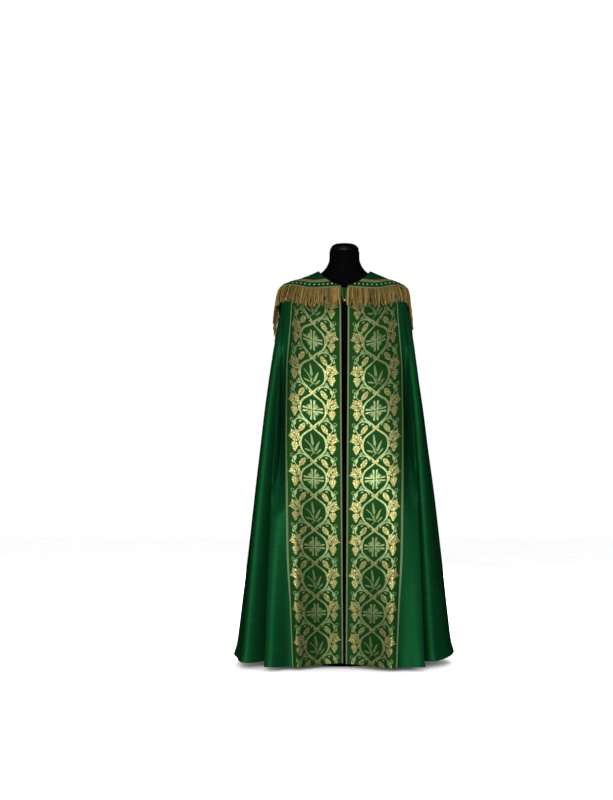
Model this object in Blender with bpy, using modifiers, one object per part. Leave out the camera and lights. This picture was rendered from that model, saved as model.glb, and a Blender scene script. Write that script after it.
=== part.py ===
"""A cope on a limbless dress form.

The cope is one wide sheet of satin, open down the front and hung from the shoulders, with two
brocade bands down its front edges, a pointed hood behind, braids and a bullion fringe round the
hood, and a small closing tab with a ring. The form is a smooth torso on a pole and a round foot.

X runs to the right as the front is seen, the front faces -Y and Z is up. The origin is the middle
of the foot's underside. Every cloth piece is read from one hanging shape: across is -1 at the left
front edge, 0 at the centre back and +1 at the right front edge, and down is metres of cloth from
the neckline, measured down the side.
"""
import math

import bmesh
import bpy
import numpy as np

# Walls and clearances, in metres.
SATIN = 0.0018
BROCADE = 0.0012
HOOD_CLOTH = 0.0016
BRAID = 0.0016
TRIM = 0.0016
SEAM_GAP = 0.0003
BAND_GAP = 0.0005
BRAID_GAP = 0.0007
TRIM_GAP = 0.0004
FORM_CLEARANCE = 0.0007

# Widths and lengths of the sewn-on pieces, in metres.
BAND_WIDTH = 0.212
EDGE_BRAID_WIDTH = 0.008
GALLOON_WIDTH = 0.012
DOTTED_WIDTH = 0.024
HEADER_WIDTH = 0.005
TRIM_SPACING = 0.0010
TRIM_LEAST_WIDTH = 0.0030
FRINGE_LENGTH = 0.074

# How far the two front edges stand from the middle, at the neck and at the hem.
FRONT_EDGE_NECK = 0.0135
FRONT_EDGE_HEM = 0.0050
# The bands slope back towards the front edges, so that they take up less room across at the hem.
BAND_NARROWING = 0.065

# The hanging shape's rings, neckline to hem. side_z, front_z and back_z are the ring's heights at
# its side, front and back. The two squares are superellipse powers, where 2 is an ellipse.
# side_y is where the ring is widest, front to back.
# Columns: half width, side_y, front, back, side_z, front_z, back_z, front square, back square.
RINGS = (
    (0.0965, 0.000, 0.080, 0.070, 1.5205, 1.458, 1.508, 2.00, 2.00),
    (0.1200, 0.000, 0.088, 0.082, 1.5105, 1.436, 1.485, 2.05, 2.10),
    (0.1510, 0.000, 0.097, 0.095, 1.4975, 1.412, 1.460, 2.10, 2.25),
    (0.1840, 0.000, 0.104, 0.106, 1.4840, 1.386, 1.433, 2.20, 2.40),
    (0.2160, 0.000, 0.110, 0.116, 1.4705, 1.360, 1.404, 2.30, 2.55),
    (0.2350, 0.000, 0.115, 0.123, 1.4580, 1.333, 1.373, 2.40, 2.60),
    (0.2435, 0.000, 0.119, 0.129, 1.4360, 1.302, 1.338, 2.45, 2.65),
    (0.2480, 0.000, 0.124, 0.135, 1.3950, 1.263, 1.295, 2.50, 2.65),
    (0.2580, 0.000, 0.131, 0.142, 1.3350, 1.212, 1.240, 2.50, 2.65),
    (0.2780, -0.010, 0.144, 0.154, 1.2150, 1.110, 1.130, 2.55, 2.65),
    (0.2960, -0.018, 0.160, 0.168, 1.0950, 1.000, 1.015, 2.60, 2.65),
    (0.3140, -0.026, 0.177, 0.185, 0.9700, 0.890, 0.900, 2.65, 2.70),
    (0.3320, -0.036, 0.198, 0.206, 0.8200, 0.750, 0.755, 2.70, 2.75),
    (0.3520, -0.047, 0.222, 0.228, 0.6500, 0.590, 0.595, 2.80, 2.80),
    (0.3710, -0.057, 0.245, 0.249, 0.4700, 0.425, 0.430, 2.90, 2.90),
    (0.3910, -0.066, 0.267, 0.268, 0.2900, 0.265, 0.265, 2.95, 2.95),
    (0.4090, -0.074, 0.285, 0.281, 0.1250, 0.115, 0.115, 3.00, 3.00),
    (0.4160, -0.078, 0.294, 0.287, 0.0720, 0.052, 0.050, 3.00, 3.00),
    (0.4270, -0.084, 0.301, 0.292, 0.0330, 0.012, 0.010, 3.00, 3.00),
)
NECK_RISE_POWER = 1.6
FRONT_HEM_LIFT = 0.009
SIDE_HEM_LIFT = 0.020
SIDE_HEM_PLACE = 0.38
SIDE_HEM_REACH = 0.18
HEM_LIFT_TOP = 0.30

# Folds. place and reach are shares of the free cloth from a front band (0) to the centre back (1),
# depth is how far the fold goes in at the hem, and top is the height where it starts.
# Columns: side, place, front reach, back reach, depth, top.
FOLDS = (
    (1, 0.146, 0.052, 0.062, 0.140, 1.37),
    (1, 0.198, 0.060, 0.200, 0.050, 1.30),
    (1, 0.020, 0.075, 0.075, 0.022, 0.60),
    (1, 0.620, 0.058, 0.058, 0.140, 1.33),
    (1, 0.845, 0.105, 0.105, 0.022, 1.05),
    (-1, 0.145, 0.052, 0.052, 0.135, 1.37),
    (-1, 0.270, 0.080, 0.080, 0.016, 1.10),
    (-1, 0.015, 0.075, 0.065, 0.030, 0.60),
    (-1, 0.625, 0.058, 0.058, 0.150, 1.33),
    (-1, 0.860, 0.100, 0.100, 0.016, 1.00),
)
DEEP_FOLD = 0.10
# The front edges lie back between the two front ridges.
# Columns: side, depth at the hem, reach in metres, flat part in metres, top.
SET_BACKS = (
    (1, 0.080, 0.250, 0.010, 1.15),
    (-1, 0.098, 0.285, 0.060, 1.15),
)
FREE_CLOTH_METRES = 0.9

# Columns of cloth: metres across a front band, then shares of the free cloth behind it.
BAND_SHARE = 0.25
NECK_BAND_SHARE = 0.46
BAND_COLUMNS = (0.0, 0.008, 0.042, 0.076, 0.110, 0.144, 0.176, 0.204, 0.212)
FOLD_STEPS = (-1.0, -0.62, -0.30, 0.0, 0.30, 0.62, 1.0)
PLAIN_SHARES = (0.045, 0.245, 0.290, 0.335, 0.385, 0.435, 0.485, 0.535, 0.74, 0.80, 0.86, 0.93)
BODY_RINGS = (0, 1, 2, 3, 4, 5, 6, 7, 8, 10, 12, 14, 16, 17, 18)
BAND_ROWS_DROPPED = 1

# The hood's edge: its height at each distance from the middle, behind and in front.
SHIELD_XS = (0.000, 0.008, 0.022, 0.084, 0.148, 0.204, 0.236, 0.250, 0.262)
SHIELD_HEIGHTS = (1.0530, 1.0539, 1.0605, 1.1010, 1.1535, 1.2250, 1.2930, 1.3720, 1.4500)
HOOD_FRONT_XS = (0.0, 0.03, 0.12, 0.20, 0.26)
HOOD_FRONT_HEIGHTS = (1.449, 1.448, 1.444, 1.458, 1.446)
HOOD_TURN_START = -0.01
HOOD_TURN_END = 0.075
HOOD_NECK_START = 0.0008
HOOD_COLUMNS = 29
HOOD_UPPER_ROWS = 6
HOOD_ROW_LEAST = 0.0014
# The hood is sewn down along the back of the neck and lies close behind. In front it passes over the
# bands, and its edge flares at the shoulders.
HOOD_LIFT_NECK = 0.0007
HOOD_SEAT_DEPTH = 0.030
HOOD_SEAT_START = 0.15
HOOD_SEAT_END = 0.40
HOOD_LIFT_FRONT = 0.0064
HOOD_LIFT_BACK = 0.0040
HOOD_CLOSE_END = 0.20
HOOD_OVER_START = 0.42
HOOD_FLARE_LEFT = 0.009
HOOD_FLARE_RIGHT = 0.001
FLARE_PLACE = 0.52
FLARE_REACH = 0.24
FLARE_MOST = 1.25
SHOULDER_PLACE = 0.60
SHOULDER_REACH = 0.20
SHOULDER_CROWDING = 2.5

STRANDS_PER_SIDE = 86
STRAND_FILL = 0.68
STRAND_DEPTH = 0.0026
STRAND_TAPER = 0.75
STRAND_SPREAD = 0.35
STRAND_LEAST_OUT = 0.66
STRAND_LENGTH_WAVE = 0.05
STRIP_WIDTH = 0.0055
STRIP_DEPTH = 0.0030
STRIP_GAP = 0.0015

# The dress form's rings below the shoulders. Columns: half width, front, back, height, square.
TORSO = (
    (0.224, 0.090, 0.104, 1.420, 2.3),
    (0.215, 0.098, 0.112, 1.375, 2.3),
    (0.198, 0.104, 0.117, 1.315, 2.25),
    (0.181, 0.108, 0.116, 1.235, 2.2),
    (0.163, 0.102, 0.106, 1.140, 2.15),
    (0.150, 0.095, 0.098, 1.040, 2.1),
    (0.160, 0.100, 0.108, 0.940, 2.1),
    (0.176, 0.108, 0.122, 0.850, 2.15),
    (0.174, 0.106, 0.120, 0.800, 2.15),
    (0.162, 0.096, 0.108, 0.786, 2.15),
)
# Neck rings above the neckline. Columns: half width, front, back, side_z, front_z, back_z.
NECK = (
    (0.0590, 0.0660, 0.0520, 1.6000, 1.600, 1.600),
    (0.0590, 0.0660, 0.0520, 1.5740, 1.572, 1.574),
    (0.0620, 0.0665, 0.0530, 1.5600, 1.543, 1.558),
    (0.0700, 0.0680, 0.0560, 1.5440, 1.512, 1.541),
    (0.0800, 0.0700, 0.0605, 1.5310, 1.485, 1.526),
)
# How much further than its clearance the form stays inside the cope, at rings 0 to 5.
FORM_EXTRA_INSETS = (0.0, 0.0004, 0.0012, 0.0014, 0.0030, 0.0070)
TAB_ROOM = 0.0045
FORM_COLUMNS = 36
CAP_RADIUS = 0.0575
CAP_BOTTOM = 1.6003
CAP_TOP = 1.6350
CAP_EDGE_ROUND = 0.026
CAP_CROWN = 0.004
CAP_LEAN = -0.007
CAP_STEPS = 26
POLE_RADIUS = 0.016
POLE_SIDES = 20
FOOT_RADIUS = 0.150
FOOT_EDGE = 0.006
FOOT_TOP = 0.014
FOOT_STEPS = 34
POLE_COLLAR_RADIUS = 0.030
POLE_COLLAR_TOP = 0.045

# The closing tab: a narrow satin V behind the front edges, edged with cord, with a ring at its point.
TAB_TOP_Z = 1.452
TAB_LENGTH = 0.060
TAB_TOP_HALF = 0.0180
TAB_POINT_HALF = 0.0050
TAB_CLOTH = 0.0014
TAB_SEAM_GAP = 0.0004
TAB_EDGING_TOP_HALF = 0.0115
TAB_EDGING_WIDTH = 0.0024
TAB_EDGING = 0.0012
RING_RADIUS = 0.0050
RING_WIRE = 0.0011
RING_RISE = 0.004

SAMPLES_ROUND = 361
SAMPLES_DOWN = 241
SAMPLES_ACROSS = 241
SMALL_STEP = 0.004
LINE_SAMPLES = 181
LINE_STEP = 0.004


def smooth_curve(knots, values, at):
    """A cubic through the values that never overshoots: each slope is the harmonic mean of its sides."""
    knots, values, at = (np.asarray(item, float) for item in (knots, values, at))
    steps = np.diff(knots)
    rises = np.diff(values) / steps
    before, after = rises[:-1], rises[1:]
    same_way = before * after > 0
    inner = np.where(same_way, 2 * before * after / np.where(same_way, before + after, 1.0), 0.0)
    slopes = np.concatenate([rises[:1], inner, rises[-1:]])
    index = np.clip(np.searchsorted(knots, at, side="right") - 1, 0, len(steps) - 1)
    share = (at - knots[index]) / steps[index]
    blend = share ** 2 * (3 - 2 * share)
    first_bow = slopes[index] * steps[index] * share * (1 - share) ** 2
    last_bow = slopes[index + 1] * steps[index] * (1 - share) * share ** 2
    return values[index] * (1 - blend) + values[index + 1] * blend + first_bow - last_bow


def smooth_step(low, high, at):
    """0 below low, 1 above high and an even S between them."""
    share = np.clip((np.asarray(at, float) - low) / (high - low), 0.0, 1.0)
    return share ** 2 * (3 - 2 * share)


def hump(place, reach, at):
    """1 at place, falling in a cosine to 0 at reach on either side."""
    return 0.5 + 0.5 * np.cos(math.pi * np.clip(np.abs(np.asarray(at, float) - place) / reach, 0, 1))


def lengths_along(points):
    """The length of a polyline up to each of its points."""
    return np.concatenate([[0.0], np.cumsum(np.linalg.norm(np.diff(points, axis=0), axis=1))])


def unit(vectors):
    return vectors / np.maximum(np.linalg.norm(vectors, axis=-1, keepdims=True), 1e-12)


RING_DOWNS = lengths_along(np.array([(row[0], row[4]) for row in RINGS]))
CLOTH_DOWN = RING_DOWNS[-1]
HEM_Z = RINGS[-1][5]


def half_ring(half_width, side_y, front, back, side_z, front_z, back_z, front_square, back_square):
    """The right half of a ring as points, from the centre front round the side to the centre back."""
    angle = np.linspace(-0.5, 0.5, SAMPLES_ROUND) * math.pi
    in_front = angle < 0
    power = 2 / np.where(in_front, front_square, back_square)
    x = half_width * np.abs(np.cos(angle)) ** power
    end_y = np.where(in_front, -front, back)
    y = side_y + (end_y - side_y) * np.abs(np.sin(angle)) ** power
    end_z = np.where(in_front, front_z, back_z)
    z = side_z + (end_z - side_z) * np.abs(np.sin(angle)) ** NECK_RISE_POWER
    return np.stack([x, y, z], axis=1)


def cloth_row(down, from_edge):
    """The smooth hanging shape's points at one distance down, from the front edge (0) to the back (1).

    The front band keeps its width, except at the neck, where it narrows to under half of the row.
    """
    ring = half_ring(*(smooth_curve(RING_DOWNS, column, down) for column in zip(*RINGS)))
    length = lengths_along(ring)
    edge_x = FRONT_EDGE_NECK + (FRONT_EDGE_HEM - FRONT_EDGE_NECK) * down / CLOTH_DOWN
    in_front = SAMPLES_ROUND // 2
    start = np.interp(edge_x, ring[:in_front, 0], length[:in_front])
    whole = length[-1] - start
    band = BAND_WIDTH * (1 - BAND_NARROWING * down / CLOTH_DOWN)
    band /= (1 + (band / (NECK_BAND_SHARE * whole)) ** 12) ** (1 / 12)
    free = band + (from_edge - BAND_SHARE) / (1 - BAND_SHARE) * (whole - band)
    place = start + np.where(from_edge < BAND_SHARE, from_edge / BAND_SHARE * band, free)
    return np.stack([np.interp(place, length, ring[:, axis]) for axis in range(3)], axis=1)


def smooth_shape():
    """The smooth hanging shape's right half, as a grid [down, from the front edge to the back]."""
    from_edge = np.linspace(0, 1, SAMPLES_ACROSS)
    return np.array([cloth_row(down, from_edge) for down in np.linspace(0, CLOTH_DOWN, SAMPLES_DOWN)])


SMOOTH_SHAPE = smooth_shape()


def on_shape(across, down):
    """Points of the smooth shape, read between its grid's points and carried on past its rim."""
    across, down = np.broadcast_arrays(np.asarray(across, float), np.asarray(down, float))
    column = (1 - np.abs(across)) * (SAMPLES_ACROSS - 1)
    row = down / CLOTH_DOWN * (SAMPLES_DOWN - 1)
    i = np.clip(np.floor(row), 0, SAMPLES_DOWN - 2).astype(int)
    j = np.clip(np.floor(column), 0, SAMPLES_ACROSS - 2).astype(int)
    a, b = (row - i)[..., None], (column - j)[..., None]
    upper = SMOOTH_SHAPE[i, j] * (1 - b) + SMOOTH_SHAPE[i, j + 1] * b
    lower = SMOOTH_SHAPE[i + 1, j] * (1 - b) + SMOOTH_SHAPE[i + 1, j + 1] * b
    points = upper * (1 - a) + lower * a
    points[..., 0] *= np.where(across < 0, -1.0, 1.0)
    return points


def ways_on_shape(across, down):
    """How a point of the smooth shape moves for each unit of across, and for each metre down."""
    step = SMALL_STEP
    round_way = (on_shape(across + step, down) - on_shape(across - step, down)) / (2 * step)
    down_way = (on_shape(across, down + step) - on_shape(across, down - step)) / (2 * step)
    return round_way, down_way


def normal_on_shape(across, down):
    across, down = np.broadcast_arrays(np.asarray(across, float), np.asarray(down, float))
    return unit(np.cross(*ways_on_shape(across, down)))


def lifted(across, down, lift):
    """Points of the smooth shape, moved out by lift."""
    return on_shape(across, down) + normal_on_shape(across, down) * np.asarray(lift)[..., None]


def fold_depth(side, from_edge, z):
    """How far the folds of one side take the cloth in, at a share from the front edge and a height."""
    free = (from_edge - BAND_SHARE) / (1 - BAND_SHARE)
    depth = np.zeros(np.broadcast(from_edge, z).shape)
    for fold_side, place, front_reach, back_reach, hem_depth, top in FOLDS:
        if fold_side == side:
            growth = np.clip((top - z) / (top - HEM_Z), 0, 1)
            reach = np.where(free < place, front_reach, back_reach)
            depth = depth + hem_depth * growth * hump(place, reach, free)
    in_band = from_edge / BAND_SHARE * BAND_WIDTH
    metres = np.where(free < 0, in_band, BAND_WIDTH + free * FREE_CLOTH_METRES)
    for set_side, hem_depth, reach, flat, top in SET_BACKS:
        if set_side == side:
            growth = np.clip((top - z) / (top - HEM_Z), 0, 1)
            depth = depth + hem_depth * growth * (1 - smooth_step(flat, reach, metres))
    return depth


def cloth(across, down):
    """The cope's outer face: the smooth shape with its folds taken in, straight back in front and else
    towards the pole, and its hem raised a little at the front edges and at the sides."""
    points = on_shape(across, down)
    from_edge = 1 - np.abs(across)
    z = points[..., 2]
    depth = np.where(across < 0, fold_depth(-1, from_edge, z), fold_depth(1, from_edge, z))
    to_pole = unit(-points * (1, 1, 0))
    in_front = 1 - smooth_step(BAND_SHARE * 0.9, BAND_SHARE * 1.5, from_edge)[..., None]
    way = unit(to_pole * (1 - in_front) + np.array([0.0, 1.0, 0.0]) * in_front)
    points = points + way * depth[..., None]
    near_front = 1 - smooth_step(0.0, BAND_SHARE * 0.8, from_edge)
    near_side = hump(SIDE_HEM_PLACE, SIDE_HEM_REACH, np.abs(across))
    low = smooth_step(HEM_LIFT_TOP, HEM_Z, z)
    points[..., 2] += (FRONT_HEM_LIFT * near_front + SIDE_HEM_LIFT * near_side) * low
    return points


def side_columns(side):
    """The across values of one side's columns, front edge first, crowded in the deep folds."""
    shares = list(PLAIN_SHARES)
    for fold_side, place, front_reach, back_reach, depth, _ in FOLDS:
        if fold_side == side and depth > DEEP_FOLD:
            start, end = place - front_reach * 1.15, place + back_reach * 1.15
            shares = [share for share in shares if not start < share < end]
            shares += [place + step * (front_reach if step < 0 else back_reach) for step in FOLD_STEPS]
    free = [(1 - BAND_SHARE) * (1 - share) for share in shares]
    band = [1 - metres / BAND_WIDTH * BAND_SHARE for metres in BAND_COLUMNS]
    return side * np.array(sorted(band + free, reverse=True))


ACROSS = np.concatenate([side_columns(-1), [0.0], side_columns(1)[::-1]])
DOWN = RING_DOWNS[list(BODY_RINGS)]
BODY = cloth(ACROSS[None, :], DOWN[:, None])
BODY_NORMALS = unit(np.cross(np.gradient(BODY, axis=1), np.gradient(BODY, axis=0)))


def new_material(name, colour, roughness, metallic=0.0):
    material = bpy.data.materials.new(name)
    material.use_nodes = True
    shader = material.node_tree.nodes["Principled BSDF"]
    shader.inputs["Base Color"].default_value = (*colour, 1.0)
    shader.inputs["Roughness"].default_value = roughness
    shader.inputs["Metallic"].default_value = metallic
    material.diffuse_color = (*colour, 1.0)
    return material


def make_materials():
    return {
        "satin": new_material("green_satin", (0.008, 0.095, 0.034), 0.45),
        "brocade": new_material("gold_brocade", (0.22, 0.24, 0.08), 0.42),
        "gold": new_material("gold_braid", (0.45, 0.34, 0.12), 0.45),
        "dotted": new_material("dotted_braid", (0.02, 0.16, 0.05), 0.55),
        "bullion": new_material("bullion_fringe", (0.30, 0.20, 0.08), 0.5),
        "form_cloth": new_material("black_form_cloth", (0.006, 0.006, 0.006), 0.6),
        "form_cap": new_material("black_form_cap", (0.008, 0.008, 0.008), 0.3),
        "stand": new_material("black_stand_metal", (0.01, 0.01, 0.01), 0.35),
        "nickel": new_material("nickel_wire", (0.62, 0.58, 0.50), 0.3, 1.0),
    }


def mesh_object(name, collection, points, faces, material):
    """An object from points and faces, shaded smooth, with its material."""
    mesh = bpy.data.meshes.new(name)
    mesh.from_pydata([tuple(point) for point in points], [], faces)
    mesh.materials.append(material)
    mesh.shade_smooth()
    piece = bpy.data.objects.new(name, mesh)
    collection.objects.link(piece)
    return piece


def face_outwards(piece):
    """Turns the faces of a closed hand-made mesh outwards."""
    edit = bmesh.new()
    edit.from_mesh(piece.data)
    bmesh.ops.recalc_face_normals(edit, faces=edit.faces)
    edit.to_mesh(piece.data)
    edit.free()


def cloth_piece(name, collection, points, thickness, material):
    """A wall of cloth. The grid [down, across] is its outer face, with its thickness inside."""
    rows, columns = points.shape[:2]
    corners = [i * columns + j for i in range(rows - 1) for j in range(columns - 1)]
    faces = [(corner, corner + 1, corner + columns + 1, corner + columns) for corner in corners]
    piece = mesh_object(name, collection, points.reshape(-1, 3), faces, material)
    wall = piece.modifiers.new("Wall", "SOLIDIFY")
    wall.thickness = thickness
    wall.offset = -1.0


def body_columns(first, last, side, lift):
    """The cope's own points between two distances from one front edge, moved out by lift."""
    metres = (1 - np.abs(ACROSS)) / BAND_SHARE * BAND_WIDTH
    tolerance = 1e-5
    chosen = (np.sign(ACROSS) == side) & (metres > first - tolerance) & (metres < last + tolerance)
    return (BODY + BODY_NORMALS * lift)[BAND_ROWS_DROPPED:, chosen]


def make_cope(collection, materials):
    """The cope's one wide sheet, and on each front edge a brocade band between two braids."""
    cloth_piece("cope_body", collection, BODY, SATIN, materials["satin"])
    braid_lift = BAND_GAP + BROCADE + BRAID_GAP + BRAID
    outer_start = BAND_WIDTH - EDGE_BRAID_WIDTH
    for side, word in ((-1, "left"), (1, "right")):
        band = body_columns(0.0, BAND_WIDTH, side, BAND_GAP + BROCADE)
        cloth_piece(f"orphrey_{word}", collection, band, BROCADE, materials["brocade"])
        inner = body_columns(0.0, EDGE_BRAID_WIDTH, side, braid_lift)
        cloth_piece(f"inner_braid_{word}", collection, inner, BRAID, materials["gold"])
        outer = body_columns(outer_start, BAND_WIDTH, side, braid_lift)
        cloth_piece(f"outer_braid_{word}", collection, outer, BRAID, materials["gold"])


def hood_edge_height(x, y):
    """The height of the hood's edge: nearly level over the front, a pointed shield behind."""
    front = smooth_curve(HOOD_FRONT_XS, HOOD_FRONT_HEIGHTS, np.abs(x))
    back = smooth_curve(SHIELD_XS, SHIELD_HEIGHTS, np.abs(x))
    behind = smooth_step(HOOD_TURN_START, HOOD_TURN_END, y)
    return front * (1 - behind) + back * behind


def find_hood_edge():
    """The hood's edge on the right half, from the front edge (across 1) to the back: across and down."""
    across = np.linspace(1, 0, SAMPLES_ACROSS)
    downs = np.linspace(0, CLOTH_DOWN, 4 * SAMPLES_DOWN)
    points = on_shape(across[None, :], downs[:, None])
    above = points[..., 2] - hood_edge_height(points[..., 0], points[..., 1])
    below = np.argmax(above < 0, axis=0)
    columns = np.arange(len(across))
    high, low = above[below - 1, columns], above[below, columns]
    return across, downs[below - 1] + high / (high - low) * (downs[1] - downs[0])


def spread_line(across, down, count, crowding=0.0):
    """A line on the smooth shape, read again at even steps, closer on the shoulder by crowding."""
    length = lengths_along(on_shape(across, down))
    weight = 1 + crowding * hump(SHOULDER_PLACE, SHOULDER_REACH, np.abs(across))
    steps = np.diff(length) * (weight[1:] + weight[:-1]) / 2
    reach = np.concatenate([[0.0], np.cumsum(steps)])
    at = np.linspace(0, reach[-1], count)
    return np.interp(at, reach, across), np.interp(at, reach, down)


def move_on_shape(across, down, way):
    """Moves points of the smooth shape by small vectors, and gives their new across and down."""
    round_way, down_way = ways_on_shape(across, down)
    a, b, c = (np.sum(u * v, -1) for u, v in
               ((round_way, round_way), (round_way, down_way), (down_way, down_way)))
    first, second = np.sum(round_way * way, -1), np.sum(down_way * way, -1)
    scale = a * c - b * b
    return across + (c * first - b * second) / scale, down + (a * second - b * first) / scale


EDGE_ACROSS, EDGE_DOWN = find_hood_edge()


def moved_edge(width):
    """The hood's edge moved in by width, or out where it is negative. It may pass the neckline."""
    across, down = spread_line(EDGE_ACROSS, EDGE_DOWN, LINE_SAMPLES)
    steps = 1 + int(abs(width) / LINE_STEP)
    for _ in range(steps):
        tangent = np.gradient(on_shape(across, down), axis=0)
        inward = unit(np.cross(normal_on_shape(across, down), tangent))
        across, down = move_on_shape(across, down, inward * (width / steps))
    return across, down


def outer_line(width, count):
    """An evenly spaced line outside the hood's edge, ending on the centre back."""
    across, down = moved_edge(-width)
    across[-1] = 0.0
    return spread_line(np.clip(across, 0.0, 1.0), down, count)


def both_halves(across, down):
    """A right-half line made whole, from the left front over the centre back to the right front."""
    return np.concatenate([-across, across[-2::-1]]), np.concatenate([down, down[-2::-1]])


def hood_lift(across, down):
    """How far the hood's inner face stands off the smooth shape at a place."""
    away = np.abs(across)
    over_bands = smooth_step(HOOD_CLOSE_END, HOOD_OVER_START, away)
    edge = np.interp(away, EDGE_ACROSS[::-1], EDGE_DOWN[::-1])
    flare = np.where(across < 0, HOOD_FLARE_LEFT, HOOD_FLARE_RIGHT)
    flare = flare * hump(FLARE_PLACE, FLARE_REACH, away)
    flare = flare * np.clip(down / edge, 0, FLARE_MOST) ** 2
    full = HOOD_LIFT_BACK + (HOOD_LIFT_FRONT - HOOD_LIFT_BACK) * over_bands
    behind = 1 - smooth_step(HOOD_SEAT_START, HOOD_SEAT_END, away)
    sewn = behind * (1 - smooth_step(0, HOOD_SEAT_DEPTH, down))
    return full - (full - HOOD_LIFT_NECK) * sewn + flare


def make_hood(collection, materials):
    """The hood lies on the shoulders from the neckline to its pointed edge, and carries three trims.

    Its lowest rows follow the trims, and the trims are made from the hood's own points.
    """
    columns = spread_line(EDGE_ACROSS, EDGE_DOWN, HOOD_COLUMNS, SHOULDER_CROWDING)[0]

    def down_at(width):
        across, down = moved_edge(width)
        return np.interp(columns, across[::-1], down[::-1])

    dotted = HEADER_WIDTH + TRIM_SPACING
    galloon = dotted + DOTTED_WIDTH + TRIM_SPACING
    seams = (galloon + GALLOON_WIDTH, galloon - TRIM_SPACING / 2, dotted - TRIM_SPACING / 2, 0.0)
    lower = np.array([down_at(width) for width in seams])
    share = np.arange(HOOD_UPPER_ROWS)[:, None] / HOOD_UPPER_ROWS
    rows = np.concatenate([HOOD_NECK_START + (lower[0] - HOOD_NECK_START) * share, lower])
    rows = np.maximum(rows, HOOD_NECK_START + HOOD_ROW_LEAST * np.arange(len(rows))[:, None])
    across, down = (np.concatenate([sign * grid, grid[:, -2::-1]], axis=1)
                    for sign, grid in ((-1, np.broadcast_to(columns, rows.shape)), (1, rows)))
    lift = hood_lift(across, down) + HOOD_CLOTH
    hood = lifted(across, down, lift)
    cloth_piece("hood", collection, hood, HOOD_CLOTH, materials["satin"])
    normals = normal_on_shape(across, down)
    trims = (("hood_header_cord", HEADER_WIDTH, STRIP_GAP, "gold"),
             ("hood_dotted_braid", dotted + DOTTED_WIDTH, dotted, "dotted"),
             ("hood_galloon", galloon + GALLOON_WIDTH, galloon, "gold"))
    for name, inner, outer, finish in trims:
        both = [np.maximum(down_at(width), HOOD_NECK_START) for width in (inner, outer)]
        both = [np.concatenate([half, half[-2::-1]]) for half in both]
        wide = np.flatnonzero(both[1] - both[0] > TRIM_LEAST_WIDTH)
        outer_face = hood + normals * (TRIM_GAP + TRIM)
        kept = range(wide[0], wide[-1] + 1)
        points = np.array([[on_column(outer_face, down, j, line[j]) for j in kept] for line in both])
        cloth_piece(name, collection, points, TRIM, materials[finish])


def on_column(grid, down, column, at):
    """The point of one grid column at a distance down, on the straight between its rows."""
    return [np.interp(at, down[:, column], grid[:, column, axis]) for axis in range(3)]


def make_fringe(collection, materials):
    """Three-sided strands, whose roots are fused into a narrow strip just outside the hood's edge."""
    count = 2 * STRANDS_PER_SIDE
    half = 3 * STRANDS_PER_SIDE + 1
    inner = both_halves(*outer_line(STRIP_GAP, half))
    outer = both_halves(*outer_line(STRIP_GAP + STRIP_WIDTH, half))
    places = np.arange(count)[:, None] * 3 + 1.5 + np.array([-1, 0, 1]) * 1.5 * STRAND_FILL
    index = np.arange(len(outer[0]))
    inner_across, inner_down = (np.interp(places[:, 1], index, values) for values in inner)
    outer_across, outer_down = (np.interp(places, index, values) for values in outer)
    lift = hood_lift(outer_across, outer_down)
    inner_lift = hood_lift(inner_across, inner_down)
    high_first, _, high_last = np.moveaxis(lifted(outer_across, outer_down, lift + STRIP_DEPTH), 1, 0)
    low = lifted(outer_across[:, 1], outer_down[:, 1], lift[:, 1])
    inner_high = lifted(inner_across, inner_down, inner_lift + STRIP_DEPTH)
    inner_low = lifted(inner_across, inner_down, inner_lift)
    points = list(np.concatenate([high_first, high_last, low, inner_high, inner_low]))
    a, b, m, h, l = (np.arange(count) + k * count for k in range(5))
    faces = [(l[0], m[0], a[0], h[0]), (h[-1], b[-1], m[-1], l[-1])]
    for k in range(count):
        faces.append((h[k], a[k], b[k]))
        root = on_shape(outer_across[k], outer_down[k])
        middle = (outer_across[k, 1], outer_down[k, 1])
        rings = strand_rings(k, root, *middle, inner_across[k], inner_down[k])
        add_strand(points, faces, (a[k], b[k], m[k]), rings)
    for k in range(count - 1):
        faces += [(h[k], b[k], a[k + 1], h[k + 1]), (l[k], h[k], h[k + 1], l[k + 1])]
        faces += [(m[k], l[k], l[k + 1], m[k + 1]), (b[k], m[k], m[k + 1], a[k + 1])]
    face_outwards(mesh_object("hood_fringe", collection, points, faces, materials["bullion"]))


def strand_rings(k, root, across, down, inner_across, inner_down):
    """Cross-sections of strand k, which hangs down and leans out where the edge itself runs down."""
    along = unit(root[2] - root[0])
    outward = unit(np.cross(along, normal_on_shape(across, down)))
    outward *= np.sign(np.dot(outward, root[1] - on_shape(inner_across, inner_down)))
    fall = np.array([0.0, 0.0, -1.0]) + STRAND_SPREAD * outward
    way = unit(outward * max(np.dot(fall, outward), STRAND_LEAST_OUT) + along * np.dot(fall, along))
    wave = math.sin(2.4 * k) + 0.5 * math.sin(0.7 * k)
    step = (FRINGE_LENGTH * (1 + STRAND_LENGTH_WAVE * wave) - STRIP_WIDTH) / 6
    half = np.linalg.norm(root[2] - root[0]) / 2
    rings = []
    last = root[1]
    for width in (half, half * STRAND_TAPER):
        for _ in range(3):
            across, down = move_on_shape(across, down, way * step)
        point, normal = on_shape(across, down), normal_on_shape(across, down)
        lift = hood_lift(across, down)
        side = unit(np.cross(normal, point - last))
        side *= np.sign(np.dot(side, along))
        high = point + normal * (lift + STRAND_DEPTH)
        rings.append((high - side * width, high + side * width, point + normal * lift))
        last = point
    return rings


def add_strand(points, faces, root, rings):
    """Grows a three-sided strand from the root triangle through its rings, and closes its end."""
    last = root
    for ring in rings:
        start = len(points)
        points.extend(ring)
        here = (start, start + 1, start + 2)
        faces += [(last[k], last[(k + 1) % 3], here[(k + 1) % 3], here[k]) for k in range(3)]
        last = here
    faces.append(last)


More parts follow.
